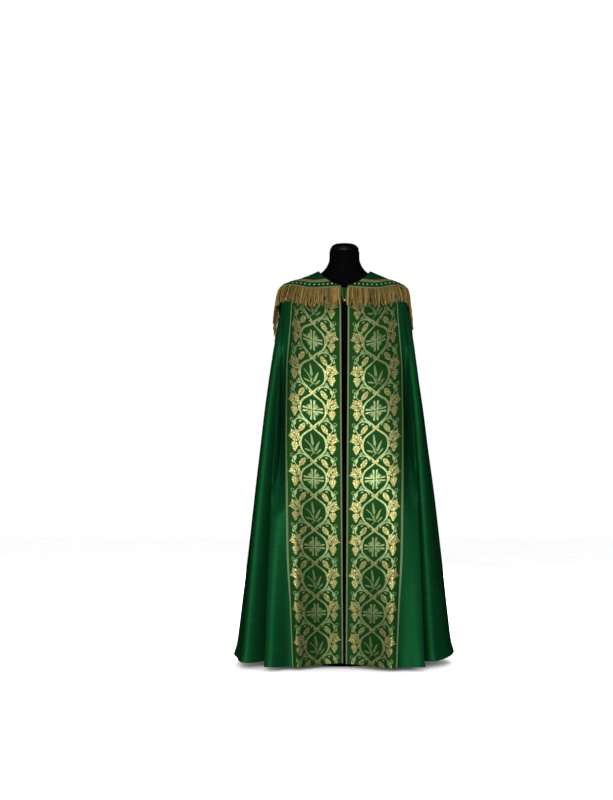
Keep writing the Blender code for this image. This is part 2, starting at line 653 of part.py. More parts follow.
def front_edge_y(z):
    """Where the cope's front edges lie, front to back, at a height."""
    edge = on_shape(1.0, np.linspace(0, 0.25, 100))
    return np.interp(-np.asarray(z), -edge[:, 2], edge[:, 1])


def make_closing(collection, materials):
    """The closing tab behind the front edges, a cord along each side and a wire ring at its point."""
    drop = np.linspace(0, 1, 6)[:, None]
    z = TAB_TOP_Z - TAB_LENGTH * drop
    face_y = front_edge_y(z) + SATIN + TAB_SEAM_GAP

    def panel(name, left, right, y, thickness, finish):
        x = left + (right - left) * np.linspace(0, 1, 3)[None, :]
        points = np.stack(np.broadcast_arrays(-x, y, z), axis=-1)
        cloth_piece(name, collection, points, thickness, materials[finish])

    tab_half = TAB_TOP_HALF + (TAB_POINT_HALF - TAB_TOP_HALF) * drop
    panel("closing_tab", -tab_half, tab_half, face_y, TAB_CLOTH, "satin")
    edge_half = TAB_EDGING_TOP_HALF + (TAB_POINT_HALF - TAB_EDGING_TOP_HALF) * drop
    inner_half = edge_half - TAB_EDGING_WIDTH
    edging_y = face_y - TAB_SEAM_GAP - TAB_EDGING
    panel("closing_cord_left", inner_half, edge_half, edging_y, TAB_EDGING, "gold")
    panel("closing_cord_right", -edge_half, -inner_half, edging_y, TAB_EDGING, "gold")
    ring_z = z[-1, 0] + RING_RISE
    rise = float(front_edge_y(ring_z + RING_RADIUS) - front_edge_y(ring_z - RING_RADIUS))
    slope = math.atan2(2 * RING_RADIUS, rise)
    off_cord = SEAM_GAP + TAB_SEAM_GAP + RING_WIRE
    ring_y = float(front_edge_y(ring_z)) + SATIN - TAB_EDGING - off_cord * math.sin(slope)
    bpy.ops.mesh.primitive_torus_add(major_segments=16, minor_segments=5, major_radius=RING_RADIUS,
                                     minor_radius=RING_WIRE, rotation=(slope, 0, 0),
                                     location=(0.0, ring_y, ring_z + off_cord * math.cos(slope)))
    adopt(bpy.context.object, "closing_ring", collection, materials["nickel"])


def adopt(piece, name, collection, material):
    """Names a piece made by an operator, puts it in the collection and gives it its material."""
    piece.name = name
    piece.data.name = name
    for other in list(piece.users_collection):
        other.objects.unlink(piece)
    collection.objects.link(piece)
    piece.data.materials.clear()
    piece.data.materials.append(material)
    piece.data.shade_smooth()


def whole_ring(half):
    """A ring of the form, evenly spaced by length, from its right half's points."""
    length = lengths_along(half)
    at = np.linspace(0, length[-1], FORM_COLUMNS // 2 + 1)
    right = np.stack([np.interp(at, length, half[:, axis]) for axis in range(3)], axis=1)
    return np.concatenate([right, right[-2:0:-1] * (-1, 1, 1)])


def shoulder_ring(index):
    """A ring of the form's shoulders: the cope's own ring, moved in, with room for the tab in front."""
    half = half_ring(*RINGS[index])
    down_way = half_ring(*RINGS[index + 1]) - half_ring(*RINGS[max(index - 1, 0)])
    normal = unit(np.cross(down_way, np.gradient(half, axis=0)))
    room = TAB_ROOM * hump(0.0, 0.06, half[:, 0]) * (half[:, 1] < 0)
    inset = SATIN + FORM_CLEARANCE + FORM_EXTRA_INSETS[index] + room
    return half - normal * inset[:, None]


def make_form(collection, materials):
    """The dress form: a torso with its neck, a domed neck cap, a pole and a round foot."""
    rings = [whole_ring(half_ring(row[0], 0.0, *row[1:], 2.0, 2.0)) for row in NECK]
    rings += [whole_ring(shoulder_ring(index)) for index in range(len(FORM_EXTRA_INSETS))]
    for half_width, front, back, height, square in TORSO:
        half = half_ring(half_width, 0.0, front, back, height, height, height, square, square)
        rings.append(whole_ring(half))
    columns = FORM_COLUMNS
    last = (len(rings) - 1) * columns
    faces = [tuple(range(columns)), tuple(range(last, last + columns))]
    for start in range(0, last, columns):
        for j in range(columns):
            after = (j + 1) % columns
            faces.append((start + j, start + columns + j, start + columns + after, start + after))
    torso = mesh_object("form_torso", collection, np.concatenate(rings), faces, materials["form_cloth"])
    face_outwards(torso)
    turned("form_neck_cap", cap_profile(), CAP_STEPS, CAP_LEAN, collection, materials["form_cap"])
    torso_bottom = TORSO[-1][3]
    bpy.ops.mesh.primitive_cylinder_add(vertices=POLE_SIDES, radius=POLE_RADIUS,
                                        depth=torso_bottom - POLE_COLLAR_TOP - 2 * SEAM_GAP,
                                        location=(0, 0, (torso_bottom + POLE_COLLAR_TOP) / 2))
    adopt(bpy.context.object, "form_pole", collection, materials["stand"])
    turned("form_foot", foot_profile(), FOOT_STEPS, 0.0, collection, materials["stand"])


def cap_profile():
    """The cap's half outline, top to bottom: a crown, a rounded edge and a short upright side."""
    flat = CAP_RADIUS - CAP_EDGE_ROUND
    turns = np.linspace(0, 0.5 * math.pi, 6)
    edge_top = CAP_TOP - CAP_CROWN
    edge = [(flat + CAP_EDGE_ROUND * math.sin(turn), edge_top - CAP_EDGE_ROUND * (1 - math.cos(turn)))
            for turn in turns]
    crown = [(0.0, CAP_TOP), (flat / 2, CAP_TOP - CAP_CROWN / 4)]
    return [*crown, *edge, (CAP_RADIUS, CAP_BOTTOM), (0.0, CAP_BOTTOM)]


def foot_profile():
    """The foot's half outline: a collar for the pole, a low cone and an upright rim."""
    return [(0.0, POLE_COLLAR_TOP), (POLE_COLLAR_RADIUS - 0.006, POLE_COLLAR_TOP),
            (POLE_COLLAR_RADIUS, FOOT_TOP + 0.006), (POLE_COLLAR_RADIUS + 0.010, FOOT_TOP),
            (FOOT_RADIUS - 0.004, FOOT_EDGE), (FOOT_RADIUS, FOOT_EDGE - 0.003),
            (FOOT_RADIUS, 0.0), (0.0, 0.0)]


def turned(name, profile, steps, lean, collection, material):
    """A turned solid: a half outline, top to bottom, swept round Z by a Screw modifier."""
    mesh = bpy.data.meshes.new(name)
    edges = [(i, i + 1) for i in range(len(profile) - 1)]
    mesh.from_pydata([(x, 0.0, z) for x, z in profile], edges, [])
    mesh.materials.append(material)
    piece = bpy.data.objects.new(name, mesh)
    piece.location.y = lean
    collection.objects.link(piece)
    screw = piece.modifiers.new("Turn", "SCREW")
    screw.steps = screw.render_steps = steps
    screw.use_merge_vertices = True
    screw.merge_threshold = 0.0001
    screw.use_smooth_shade = True


def main():
    for item in list(bpy.data.objects):
        bpy.data.objects.remove(item)
    collection = bpy.data.collections.new("cope_on_dress_form")
    bpy.context.scene.collection.children.link(collection)
    materials = make_materials()
    make_form(collection, materials)
    make_cope(collection, materials)
    make_hood(collection, materials)
    make_fringe(collection, materials)
    make_closing(collection, materials)


main()
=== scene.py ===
"""A green cope with brocade bands, hanging open in front on a black dress form.

The cloth is read from one hanging shape: across is -1 at the left front edge, 0 at the centre back
and +1 at the right front edge, and down is metres of cloth from the neckline, measured down the side.
Every trim lies on points of the piece under it, moved out along that piece's normals. Lengths are in
metres, except where a heading or a comment says millimetres.
"""

import math

import bpy
import numpy as np
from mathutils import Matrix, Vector


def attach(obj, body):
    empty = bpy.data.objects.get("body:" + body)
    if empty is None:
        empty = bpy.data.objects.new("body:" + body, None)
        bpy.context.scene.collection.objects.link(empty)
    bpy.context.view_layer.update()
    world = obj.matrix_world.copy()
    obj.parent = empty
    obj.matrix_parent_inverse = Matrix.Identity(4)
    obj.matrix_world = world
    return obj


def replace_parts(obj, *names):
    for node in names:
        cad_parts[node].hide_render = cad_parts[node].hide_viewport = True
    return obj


bl_info = {
    "name": "Cope on a dress form",
    "version": (1, 0, 0),
    "blender": (4, 5, 0),
    "location": "3D View > Sidebar > Cope",
    "description": "Builds a satin cope with its bands, hood, braids and fringe on a dress form",
    "category": "Object",
}

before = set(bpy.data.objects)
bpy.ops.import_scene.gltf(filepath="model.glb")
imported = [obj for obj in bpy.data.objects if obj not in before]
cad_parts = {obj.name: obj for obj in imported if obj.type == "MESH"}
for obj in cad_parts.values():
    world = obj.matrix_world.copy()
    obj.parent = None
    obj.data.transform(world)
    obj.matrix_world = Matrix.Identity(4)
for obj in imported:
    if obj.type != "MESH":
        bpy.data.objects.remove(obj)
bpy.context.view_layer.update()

# ---------------------------------------------------------------- the hanging shape

FRONT_EDGE_NECK = 0.0135
FRONT_EDGE_HEM = 0.0050
BAND_WIDTH = 0.212
BAND_NARROWING = 0.065
BAND_SHARE = 0.25
NECK_BAND_SHARE = 0.46
NECK_LIMIT_POWER = 12
# Level rings of the hanging shape, from the neckline to the hem: how far it goes to the side, front and
# back, its heights there, and how square its front and back halves are (2 is round).
# Columns: half width, side_y, front, back, side_z, front_z, back_z, front square, back square.
RINGS = (
    (0.0965, 0.000, 0.080, 0.070, 1.5205, 1.458, 1.508, 2.00, 2.00),
    (0.1200, 0.000, 0.088, 0.082, 1.5105, 1.436, 1.485, 2.05, 2.10),
    (0.1510, 0.000, 0.097, 0.095, 1.4975, 1.412, 1.460, 2.10, 2.25),
    (0.1840, 0.000, 0.104, 0.106, 1.4840, 1.386, 1.433, 2.20, 2.40),
    (0.2160, 0.000, 0.110, 0.116, 1.4705, 1.360, 1.404, 2.30, 2.55),
    (0.2350, 0.000, 0.115, 0.123, 1.4580, 1.333, 1.373, 2.40, 2.60),
    (0.2435, 0.000, 0.119, 0.129, 1.4360, 1.302, 1.338, 2.45, 2.65),
    (0.2480, 0.000, 0.124, 0.135, 1.3950, 1.263, 1.295, 2.50, 2.65),
    (0.2580, 0.000, 0.131, 0.142, 1.3350, 1.212, 1.240, 2.50, 2.65),
    (0.2780, -0.010, 0.144, 0.154, 1.2150, 1.110, 1.130, 2.55, 2.65),
    (0.2960, -0.018, 0.160, 0.168, 1.0950, 1.000, 1.015, 2.60, 2.65),
    (0.3140, -0.026, 0.177, 0.185, 0.9700, 0.890, 0.900, 2.65, 2.70),
    (0.3320, -0.036, 0.198, 0.206, 0.8200, 0.750, 0.755, 2.70, 2.75),
    (0.3520, -0.047, 0.222, 0.228, 0.6500, 0.590, 0.595, 2.80, 2.80),
    (0.3710, -0.057, 0.245, 0.249, 0.4700, 0.425, 0.430, 2.90, 2.90),
    (0.3910, -0.066, 0.267, 0.268, 0.2900, 0.265, 0.265, 2.95, 2.95),
    (0.4090, -0.074, 0.285, 0.281, 0.1250, 0.115, 0.115, 3.00, 3.00),
    (0.4160, -0.078, 0.294, 0.287, 0.0720, 0.052, 0.050, 3.00, 3.00),
    (0.4270, -0.084, 0.301, 0.292, 0.0330, 0.012, 0.010, 3.00, 3.00),
)
NECK_RISE_POWER = 1.6
FRONT_HEM_LIFT = 0.009
SIDE_HEM_LIFT = 0.020
SIDE_HEM_PLACE = 0.38
SIDE_HEM_REACH = 0.18
HEM_LIFT_TOP = 0.30
# Shares of the band from the front edge: up to the first, folds go straight back, and past the second
# they go towards the pole. The hem's lift in front is gone at the last.
STRAIGHT_BACK_END, TO_POLE_START, FRONT_LIFT_END = 0.9, 1.5, 0.8
# Folds, which deepen evenly from their top down to the hem. Places and reaches are shares of the free
# cloth, which goes from the band's edge (0) to the centre back (1).
# Columns: side, place, front reach, back reach, depth at the hem, top.
FOLDS = (
    (1, 0.146, 0.052, 0.062, 0.140, 1.37),
    (1, 0.198, 0.060, 0.200, 0.050, 1.30),
    (1, 0.020, 0.075, 0.075, 0.022, 0.60),
    (1, 0.620, 0.058, 0.058, 0.140, 1.33),
    (1, 0.845, 0.105, 0.105, 0.022, 1.05),
    (-1, 0.145, 0.052, 0.052, 0.135, 1.37),
    (-1, 0.270, 0.080, 0.080, 0.016, 1.10),
    (-1, 0.015, 0.075, 0.065, 0.030, 0.60),
    (-1, 0.625, 0.058, 0.058, 0.150, 1.33),
    (-1, 0.860, 0.100, 0.100, 0.016, 1.00),
)
# Folds deeper than this at the hem get columns of their own, a little past their reach.
DEEP_FOLD = 0.10
DEEP_FOLD_MARGIN = 1.15
# How far each front lies back, most at its edge. Reach and flat part are measured from the front edge.
# Columns: side, depth at the hem, reach, flat part, top.
SET_BACKS = (
    (1, 0.080, 0.250, 0.010, 1.15),
    (-1, 0.098, 0.285, 0.060, 1.15),
)
FREE_CLOTH_METRES = 0.9
# Soft creases that the satin takes while it hangs. Place is a share of the free cloth, as above, and
# a negative depth stands out. Each leans by lean over its height and fades out at its two ends.
# Columns: side, place, reach, depth, low end, high end, lean.
SOFT_CREASES = (
    (1, 0.620, 0.040, 0.0200, 0.00, 1.28, 0.000),
    (-1, 0.625, 0.040, 0.0200, 0.00, 1.28, 0.000),
    (1, 0.300, 0.030, 0.0050, 0.20, 1.20, 0.020),
    (1, 0.395, 0.036, -0.0040, 0.02, 0.90, -0.015),
    (1, 0.470, 0.030, 0.0045, 0.35, 1.28, 0.010),
    (1, 0.735, 0.032, -0.0040, 0.05, 0.95, 0.012),
    (1, 0.930, 0.034, 0.0035, 0.30, 1.00, -0.010),
    (-1, 0.330, 0.034, 0.0045, 0.25, 1.15, 0.018),
    (-1, 0.420, 0.030, -0.0045, 0.02, 0.80, -0.012),
    (-1, 0.505, 0.034, 0.0050, 0.30, 1.25, 0.008),
    (-1, 0.745, 0.036, -0.0035, 0.10, 0.90, -0.014),
    (-1, 0.935, 0.030, 0.0040, 0.25, 1.05, 0.010),
)
# Deep valleys beside the bands, and the roundness of one lobe. They go straight back. Columns as above.
VALLEYS = (
    (1, 0.148, 0.048, 0.0600, -1.28, 1.28, 0.000),
    (-1, 0.147, 0.036, 0.0700, -1.28, 1.28, 0.000),
    (1, 0.060, 0.060, 0.0700, 0.58, 1.25, 0.000),
    (-1, 0.060, 0.060, 0.0700, 0.58, 1.25, 0.000),
    (-1, 0.218, 0.030, 0.0080, -1.00, 1.20, 0.000),
)
# The bands' widths as shares of the cloth's front band, at heights above the hem along the cloth.
BAND_WIDTH_HEIGHTS = (0.0, 0.23, 0.42, 0.65, 0.85, 1.0, 1.1, 1.3, 1.47)
BAND_WIDTHS = (0.960, 1.003, 1.040, 1.046, 1.055, 1.068, 1.078, 1.060, 1.0)
# Where the cope's columns lie: metres in the bands, shares of a deep fold's reach, shares of free cloth.
BAND_COLUMNS = (0.0, 0.008, 0.042, 0.076, 0.110, 0.144, 0.176, 0.204, 0.212)
FOLD_STEPS = (-1.0, -0.62, -0.30, 0.0, 0.30, 0.62, 1.0)
PLAIN_SHARES = (0.045, 0.245, 0.290, 0.335, 0.385, 0.435, 0.485, 0.535, 0.74, 0.80, 0.86, 0.93)
# The bands' tops lie on this ring, counted from 0.
BAND_TOP_RING = 1

# ---------------------------------------------------------------- the hood

SHIELD_XS = (0.000, 0.008, 0.022, 0.084, 0.148, 0.204, 0.236, 0.250, 0.262)
SHIELD_HEIGHTS = (1.0530, 1.0539, 1.0605, 1.1010, 1.1535, 1.2250, 1.2930, 1.3720, 1.4500)
HOOD_FRONT_XS = (0.0, 0.03, 0.12, 0.20, 0.26)
HOOD_FRONT_HEIGHTS = (1.449, 1.448, 1.444, 1.458, 1.446)
HOOD_TURN_START = -0.01
HOOD_TURN_END = 0.075
HOOD_NECK_START = 0.0008
HOOD_LIFT_NECK = 0.0007
HOOD_SEAT_DEPTH = 0.030
HOOD_SEAT_START = 0.15
HOOD_SEAT_END = 0.40
HOOD_LIFT_FRONT = 0.0064
HOOD_LIFT_BACK = 0.0040
HOOD_CLOSE_END = 0.20
HOOD_OVER_START = 0.42
HOOD_FLARE_LEFT = 0.009
HOOD_FLARE_RIGHT = 0.001
FLARE_PLACE = 0.52
FLARE_REACH = 0.24
FLARE_MOST = 1.25
HEADER_WIDTH = 0.005
DOTTED_WIDTH = 0.024
GALLOON_WIDTH = 0.012
TRIM_SPACING = 0.0010
TRIM_LEAST_WIDTH = 0.0022
# Heights of the trims' domes, ribs, plies and edges, and the plies' pitches.
BRAID_PITCH, BRAID_PLY = 0.0075, 0.0003
HEADER_PITCH, HEADER_PLY, HEADER_DOME = 0.0060, 0.0004, 0.0016
GALLOON_RIB, GALLOON_RIB_HEIGHT, GALLOON_DOME = 0.0042, 0.00015, 0.0006
DOT_HEIGHT, DOTTED_EDGE_HEIGHT = 0.0009, 0.0003
DOT_PITCH = 0.0185
DOT_RADIUS = 2.9  # millimetres
# The fringe's strands. Their scatter is that of their lean and of their length.
STRIP_GAP = 0.0015
STRAND_SPREAD = 0.35
STRAND_LEAST_OUT = 0.66
STRAND_RADIUS = 0.0020
STRAND_WIDE, STRAND_HIGH = 1.08, 0.85
STRAND_SCATTER = 0.05
STRAND_SWING = 0.0022
STRAND_WAVE = 0.0008
STRAND_ROOT_HEIGHT = 0.0010
STRAND_TIP = 0.07
TINT_SCATTER = 0.36
# The fringe's under layer and its upper one. Columns: first place on the line, share of the length,
# height over the hood's inner face, middle of the tints (0 to 1). The upper layer's low middle tint
# is painted shade, which makes its strands darker.
STRAND_LAYERS = ((1, 1.0, 0.0012, 0.5), (0, 0.97, 0.0030, 0.1))
EMBLEM_Z = 1.3127
# The emblem's measures, in millimetres: its frame's lobes, its rings, its leaves and its stitches.
LOBE_CENTRE, LOBE_RADII, RING_RADII = 54.0, (49.0, 43.5), (11.0, 7.5)
CORNER_REACH, SMALL_LEAF_REACH = 72, 24
# Columns: lean in radians, length.
CORNER_LEAVES = ((0.0, 31), (0.75, 23), (-0.75, 23))
# One side of an arm of the cross, and its middle line.
ARM_LINES = (((7, 5), (30, 6), (52, 10), (66, 19), (74, 21), (72, 10), (79, 0)), ((14, 0), (40, 0), (60, 0)))
STRETCH, STRETCH_OVERLAP = 30.0, 0.5

# ---------------------------------------------------------------- walls, clearances and counts

SATIN = 0.0018
HOOD_CLOTH = 0.0016
BROCADE = 0.0012
BAND_GAP = 0.0005
BRAID_GAP = 0.0004
BRAID = 0.0014
TRIM_GAP = 0.0004
TRIM = 0.0014
TAB_TOP_Z = 1.452
TAB_LENGTH = 0.060
TAB_TOP_HALF = 0.0180
TAB_POINT_HALF = 0.0050
TAB_CLOTH = 0.0014
TAB_SEAM_GAP = 0.0004
TAB_EDGING_TOP_HALF = 0.0115
TAB_EDGING_RADIUS = 0.0010
TAB_EDGING_INSET = 0.0012
SIDES = ((-1, "left"), (1, "right"))

SAMPLES_ROUND = 721
SAMPLES_DOWN = 481
SAMPLES_ACROSS = 481
SMALL_STEP = 0.004
LINE_SAMPLES = 361
LINE_STEP = 0.004
CLOTH_ROWS = 229
MEASURED_ROW = 160
BAND_COLUMNS_DRAWN, BAND_ROWS = 105, 751
BRAID_COLUMNS, BRAID_ROWS = 7, 1201
HOOD_COLUMNS, HOOD_ROWS = 341, 97
TRIM_COLUMNS = 1101
STRAND_RINGS, STRAND_SIDES = 19, 7
EMBLEM_RINGS, EMBLEM_SIDES = 15, 6
TAB_COLUMNS, TAB_ROWS, TAB_CORD_SIDES = 17, 31, 8
CAMERA_LENS, CAMERA_SENSOR = 57.375, 36.0  # millimetres
# Columns: name, place, height that it is turned to, size.
LIGHTS = (("key", (-0.6, -4.9, 1.75), 0.85, 1.8), ("fill", (1.9, -4.2, 1.5), 0.80, 1.4),
          ("rear", (0.0, 4.2, 2.0), 0.85, 1.8))
FLOOR_HALF, FLOOR_POINTS, FLOOR_GAP = 9.0, 9, 0.0006


def smooth_curve(knots, values, at):
    """A cubic through the values that never overshoots: each slope is the harmonic mean of its sides."""
    knots, values, at = (np.asarray(item, float) for item in (knots, values, at))
    steps = np.diff(knots)
    rises = np.diff(values) / steps
    before, after = rises[:-1], rises[1:]
    same_way = before * after > 0
    inner = np.where(same_way, 2 * before * after / np.where(same_way, before + after, 1.0), 0.0)
    slopes = np.concatenate([rises[:1], inner, rises[-1:]])
    index = np.clip(np.searchsorted(knots, at, side="right") - 1, 0, len(steps) - 1)
    share = (at - knots[index]) / steps[index]
    blend = share ** 2 * (3 - 2 * share)
    first_bow = slopes[index] * steps[index] * share * (1 - share) ** 2
    last_bow = slopes[index + 1] * steps[index] * (1 - share) * share ** 2
    return values[index] * (1 - blend) + values[index + 1] * blend + first_bow - last_bow


def smooth_step(low, high, at):
    """0 below low, 1 above high and an even S between them."""
    share = np.clip((np.asarray(at, float) - low) / (high - low), 0.0, 1.0)
    return share ** 2 * (3 - 2 * share)


def hump(place, reach, at):
    """1 at place, falling in a cosine to 0 at reach on either side."""
    return 0.5 + 0.5 * np.cos(math.pi * np.clip(np.abs(np.asarray(at, float) - place) / reach, 0, 1))


def lengths_along(points):
    """The length of a polyline up to each of its points."""
    return np.concatenate([[0.0], np.cumsum(np.linalg.norm(np.diff(points, axis=0), axis=1))])


def unit(vectors):
    """Vectors made one long."""
    return vectors / np.maximum(np.linalg.norm(vectors, axis=-1, keepdims=True), 1e-12)


RING_DOWNS = lengths_along(np.array([(row[0], row[4]) for row in RINGS]))
CLOTH_DOWN = RING_DOWNS[-1]
HEM_Z = RINGS[-1][5]


def half_ring(half_width, side_y, front, back, side_z, front_z, back_z, front_square, back_square):
    """The right half of a ring: a superellipse in plan, whose height goes from the side's to the
    front's or the back's with a power of the distance front to back."""
    angle = np.linspace(-0.5, 0.5, SAMPLES_ROUND) * math.pi
    in_front = angle < 0
    power = 2 / np.where(in_front, front_square, back_square)
    x = half_width * np.abs(np.cos(angle)) ** power
    end_y = np.where(in_front, -front, back)
    y = side_y + (end_y - side_y) * np.abs(np.sin(angle)) ** power
    end_z = np.where(in_front, front_z, back_z)
    z = side_z + (end_z - side_z) * np.abs(np.sin(angle)) ** NECK_RISE_POWER
    return np.stack([x, y, z], axis=1)


def cloth_row(down, from_edge):
    """The smooth hanging shape's points at one distance down, from the front edge (0) to the back (1).

    The front band keeps its width, except at the neck, where it narrows to under half of the row."""
    ring = half_ring(*(smooth_curve(RING_DOWNS, column, down) for column in zip(*RINGS)))
    length = lengths_along(ring)
    edge_x = FRONT_EDGE_NECK + (FRONT_EDGE_HEM - FRONT_EDGE_NECK) * down / CLOTH_DOWN
    in_front = SAMPLES_ROUND // 2
    start = np.interp(edge_x, ring[:in_front, 0], length[:in_front])
    whole = length[-1] - start
    band = BAND_WIDTH * (1 - BAND_NARROWING * down / CLOTH_DOWN)
    band /= (1 + (band / (NECK_BAND_SHARE * whole)) ** NECK_LIMIT_POWER) ** (1 / NECK_LIMIT_POWER)
    free = band + (from_edge - BAND_SHARE) / (1 - BAND_SHARE) * (whole - band)
    place = start + np.where(from_edge < BAND_SHARE, from_edge / BAND_SHARE * band, free)
    return np.stack([np.interp(place, length, ring[:, axis]) for axis in range(3)], axis=1)


SMOOTH_SHAPE = np.array([cloth_row(down, np.linspace(0, 1, SAMPLES_ACROSS))
                         for down in np.linspace(0, CLOTH_DOWN, SAMPLES_DOWN)])


def on_shape(across, down):
    """Points of the smooth shape, read between its grid's points and carried on past its rim."""
    across, down = np.broadcast_arrays(np.asarray(across, float), np.asarray(down, float))
    column = (1 - np.abs(across)) * (SAMPLES_ACROSS - 1)
    row = down / CLOTH_DOWN * (SAMPLES_DOWN - 1)
    i = np.clip(np.floor(row), 0, SAMPLES_DOWN - 2).astype(int)
    j = np.clip(np.floor(column), 0, SAMPLES_ACROSS - 2).astype(int)
    a, b = (row - i)[..., None], (column - j)[..., None]
    upper = SMOOTH_SHAPE[i, j] * (1 - b) + SMOOTH_SHAPE[i, j + 1] * b
    lower = SMOOTH_SHAPE[i + 1, j] * (1 - b) + SMOOTH_SHAPE[i + 1, j + 1] * b
    points = upper * (1 - a) + lower * a
    points[..., 0] *= np.where(across < 0, -1.0, 1.0)
    return points


def ways_on_shape(across, down):
    """How a point of the smooth shape moves for each unit of across, and for each metre down."""
    step = SMALL_STEP
    round_way = (on_shape(across + step, down) - on_shape(across - step, down)) / (2 * step)
    down_way = (on_shape(across, down + step) - on_shape(across, down - step)) / (2 * step)
    return round_way, down_way


def normal_on_shape(across, down):
    """The smooth shape's outward normal at a place."""
    across, down = np.broadcast_arrays(np.asarray(across, float), np.asarray(down, float))
    return unit(np.cross(*ways_on_shape(across, down)))


def lifted(across, down, lift):
    """Points of the smooth shape, moved out by lift."""
    return on_shape(across, down) + normal_on_shape(across, down) * np.asarray(lift)[..., None]


def fold_depth(side, from_edge, z):
    """How far the folds and creases of one side take the cloth in: a sum of cosine humps, each deeper
    towards the hem."""
    free = (from_edge - BAND_SHARE) / (1 - BAND_SHARE)
    depth = np.zeros(np.broadcast(from_edge, z).shape)
    for fold_side, place, front_reach, back_reach, hem_depth, top in FOLDS:
        if fold_side == side:
            growth = np.clip((top - z) / (top - HEM_Z), 0, 1)
            reach = np.where(free < place, front_reach, back_reach)
            depth = depth + hem_depth * growth * hump(place, reach, free)
    in_band = from_edge / BAND_SHARE * BAND_WIDTH
    metres = np.where(free < 0, in_band, BAND_WIDTH + free * FREE_CLOTH_METRES)
    for set_side, hem_depth, reach, flat, top in SET_BACKS:
        if set_side == side:
            growth = np.clip((top - z) / (top - HEM_Z), 0, 1)
            depth = depth + hem_depth * growth * (1 - smooth_step(flat, reach, metres))
    return depth + crease_depth(SOFT_CREASES, side, free, z)


def crease_depth(creases, side, free, z):
    """The summed depth of a table of creases: each a cosine hump across and half a sine up its height."""
    depth = np.zeros(np.broadcast(free, z).shape)
    for crease_side, place, reach, most, low, high, lean in creases:
        if crease_side == side:
            share = np.clip((z - low) / (high - low), 0, 1)
            depth = depth + most * np.sin(math.pi * share) * hump(place + lean * share, reach, free)
    return depth


def cloth(across, down):
    """The cope's outer face: the smooth shape with its folds taken in, straight back in front and else
    towards the pole, and its hem raised a little at the front edges and at the sides."""
    points = on_shape(across, down)
    from_edge = 1 - np.abs(across)
    z = points[..., 2]
    depth = np.where(across < 0, fold_depth(-1, from_edge, z), fold_depth(1, from_edge, z))
    to_pole = unit(-points * (1, 1, 0))
    behind = smooth_step(BAND_SHARE * STRAIGHT_BACK_END, BAND_SHARE * TO_POLE_START, from_edge)[..., None]
    way = unit(to_pole * behind + np.array([0.0, 1.0, 0.0]) * (1 - behind))
    points = points + way * depth[..., None]
    free = (from_edge - BAND_SHARE) / (1 - BAND_SHARE)
    valleys = [crease_depth(VALLEYS, side, free, z) for side in (-1, 1)]
    points[..., 1] += np.where(across < 0, *valleys)
    near_front = 1 - smooth_step(0.0, BAND_SHARE * FRONT_LIFT_END, from_edge)
    near_side = hump(SIDE_HEM_PLACE, SIDE_HEM_REACH, np.abs(across))
    low = smooth_step(HEM_LIFT_TOP, HEM_Z, z)
    points[..., 2] += (FRONT_HEM_LIFT * near_front + SIDE_HEM_LIFT * near_side) * low
    return points


def grid_normals(points):
    """Normals of a grid [down, across]: the cross product of its two finite differences."""
    return unit(np.cross(np.gradient(points, axis=1), np.gradient(points, axis=0)))


def side_columns(side):
    """The across values of one side's columns, front edge first, crowded in the deep folds."""
    shares = list(PLAIN_SHARES)
    for fold_side, place, front_reach, back_reach, depth, _ in FOLDS:
        if fold_side == side and depth > DEEP_FOLD:
            start, end = place - front_reach * DEEP_FOLD_MARGIN, place + back_reach * DEEP_FOLD_MARGIN
            shares = [share for share in shares if not start < share < end]
            shares += [place + step * (front_reach if step < 0 else back_reach) for step in FOLD_STEPS]
    free = [(1 - BAND_SHARE) * (1 - share) for share in shares]
    band = [1 - metres / BAND_WIDTH * BAND_SHARE for metres in BAND_COLUMNS]
    return side * np.array(sorted(band + free, reverse=True))


def hood_edge_height(x, y):
    """The height of the hood's edge: nearly level over the front, a pointed shield behind."""
    front = smooth_curve(HOOD_FRONT_XS, HOOD_FRONT_HEIGHTS, np.abs(x))
    back = smooth_curve(SHIELD_XS, SHIELD_HEIGHTS, np.abs(x))
    behind = smooth_step(HOOD_TURN_START, HOOD_TURN_END, y)
    return front * (1 - behind) + back * behind


def find_hood_edge():
    """The hood's edge on the right half, from the front edge (across 1) to the back: where the smooth
    shape first drops below the edge's height, read between two samples."""
    across = np.linspace(1, 0, SAMPLES_ACROSS)
    downs = np.linspace(0, CLOTH_DOWN, 2 * SAMPLES_DOWN)
    points = on_shape(across[None, :], downs[:, None])
    above = points[..., 2] - hood_edge_height(points[..., 0], points[..., 1])
    below = np.argmax(above < 0, axis=0)
    columns = np.arange(len(across))
    high, low = above[below - 1, columns], above[below, columns]
    return across, downs[below - 1] + high / (high - low) * (downs[1] - downs[0])


def spread_line(across, down, count):
    """A line on the smooth shape, read again at even steps of length."""
    length = lengths_along(on_shape(across, down))
    at = np.linspace(0, length[-1], count)
    return np.interp(at, length, across), np.interp(at, length, down)


def move_on_shape(across, down, way):
    """Moves points of the smooth shape by small vectors, and gives their new across and down: the two
    numbers solve the normal equations of the shape's two ways."""
    round_way, down_way = ways_on_shape(across, down)
    a, b, c = (np.sum(u * v, -1) for u, v in
               ((round_way, round_way), (round_way, down_way), (down_way, down_way)))
    first, second = np.sum(round_way * way, -1), np.sum(down_way * way, -1)
    scale = a * c - b * b
    return across + (c * first - b * second) / scale, down + (a * second - b * first) / scale


EDGE_ACROSS, EDGE_DOWN = find_hood_edge()


def moved_edge(width):
    """The hood's edge moved in by width, or out where it is negative. It may pass the neckline."""
    across, down = spread_line(EDGE_ACROSS, EDGE_DOWN, LINE_SAMPLES)
    steps = 1 + int(abs(width) / LINE_STEP)
    for _ in range(steps):
        tangent = np.gradient(on_shape(across, down), axis=0)
        inward = unit(np.cross(normal_on_shape(across, down), tangent))
        across, down = move_on_shape(across, down, inward * (width / steps))
    return across, down


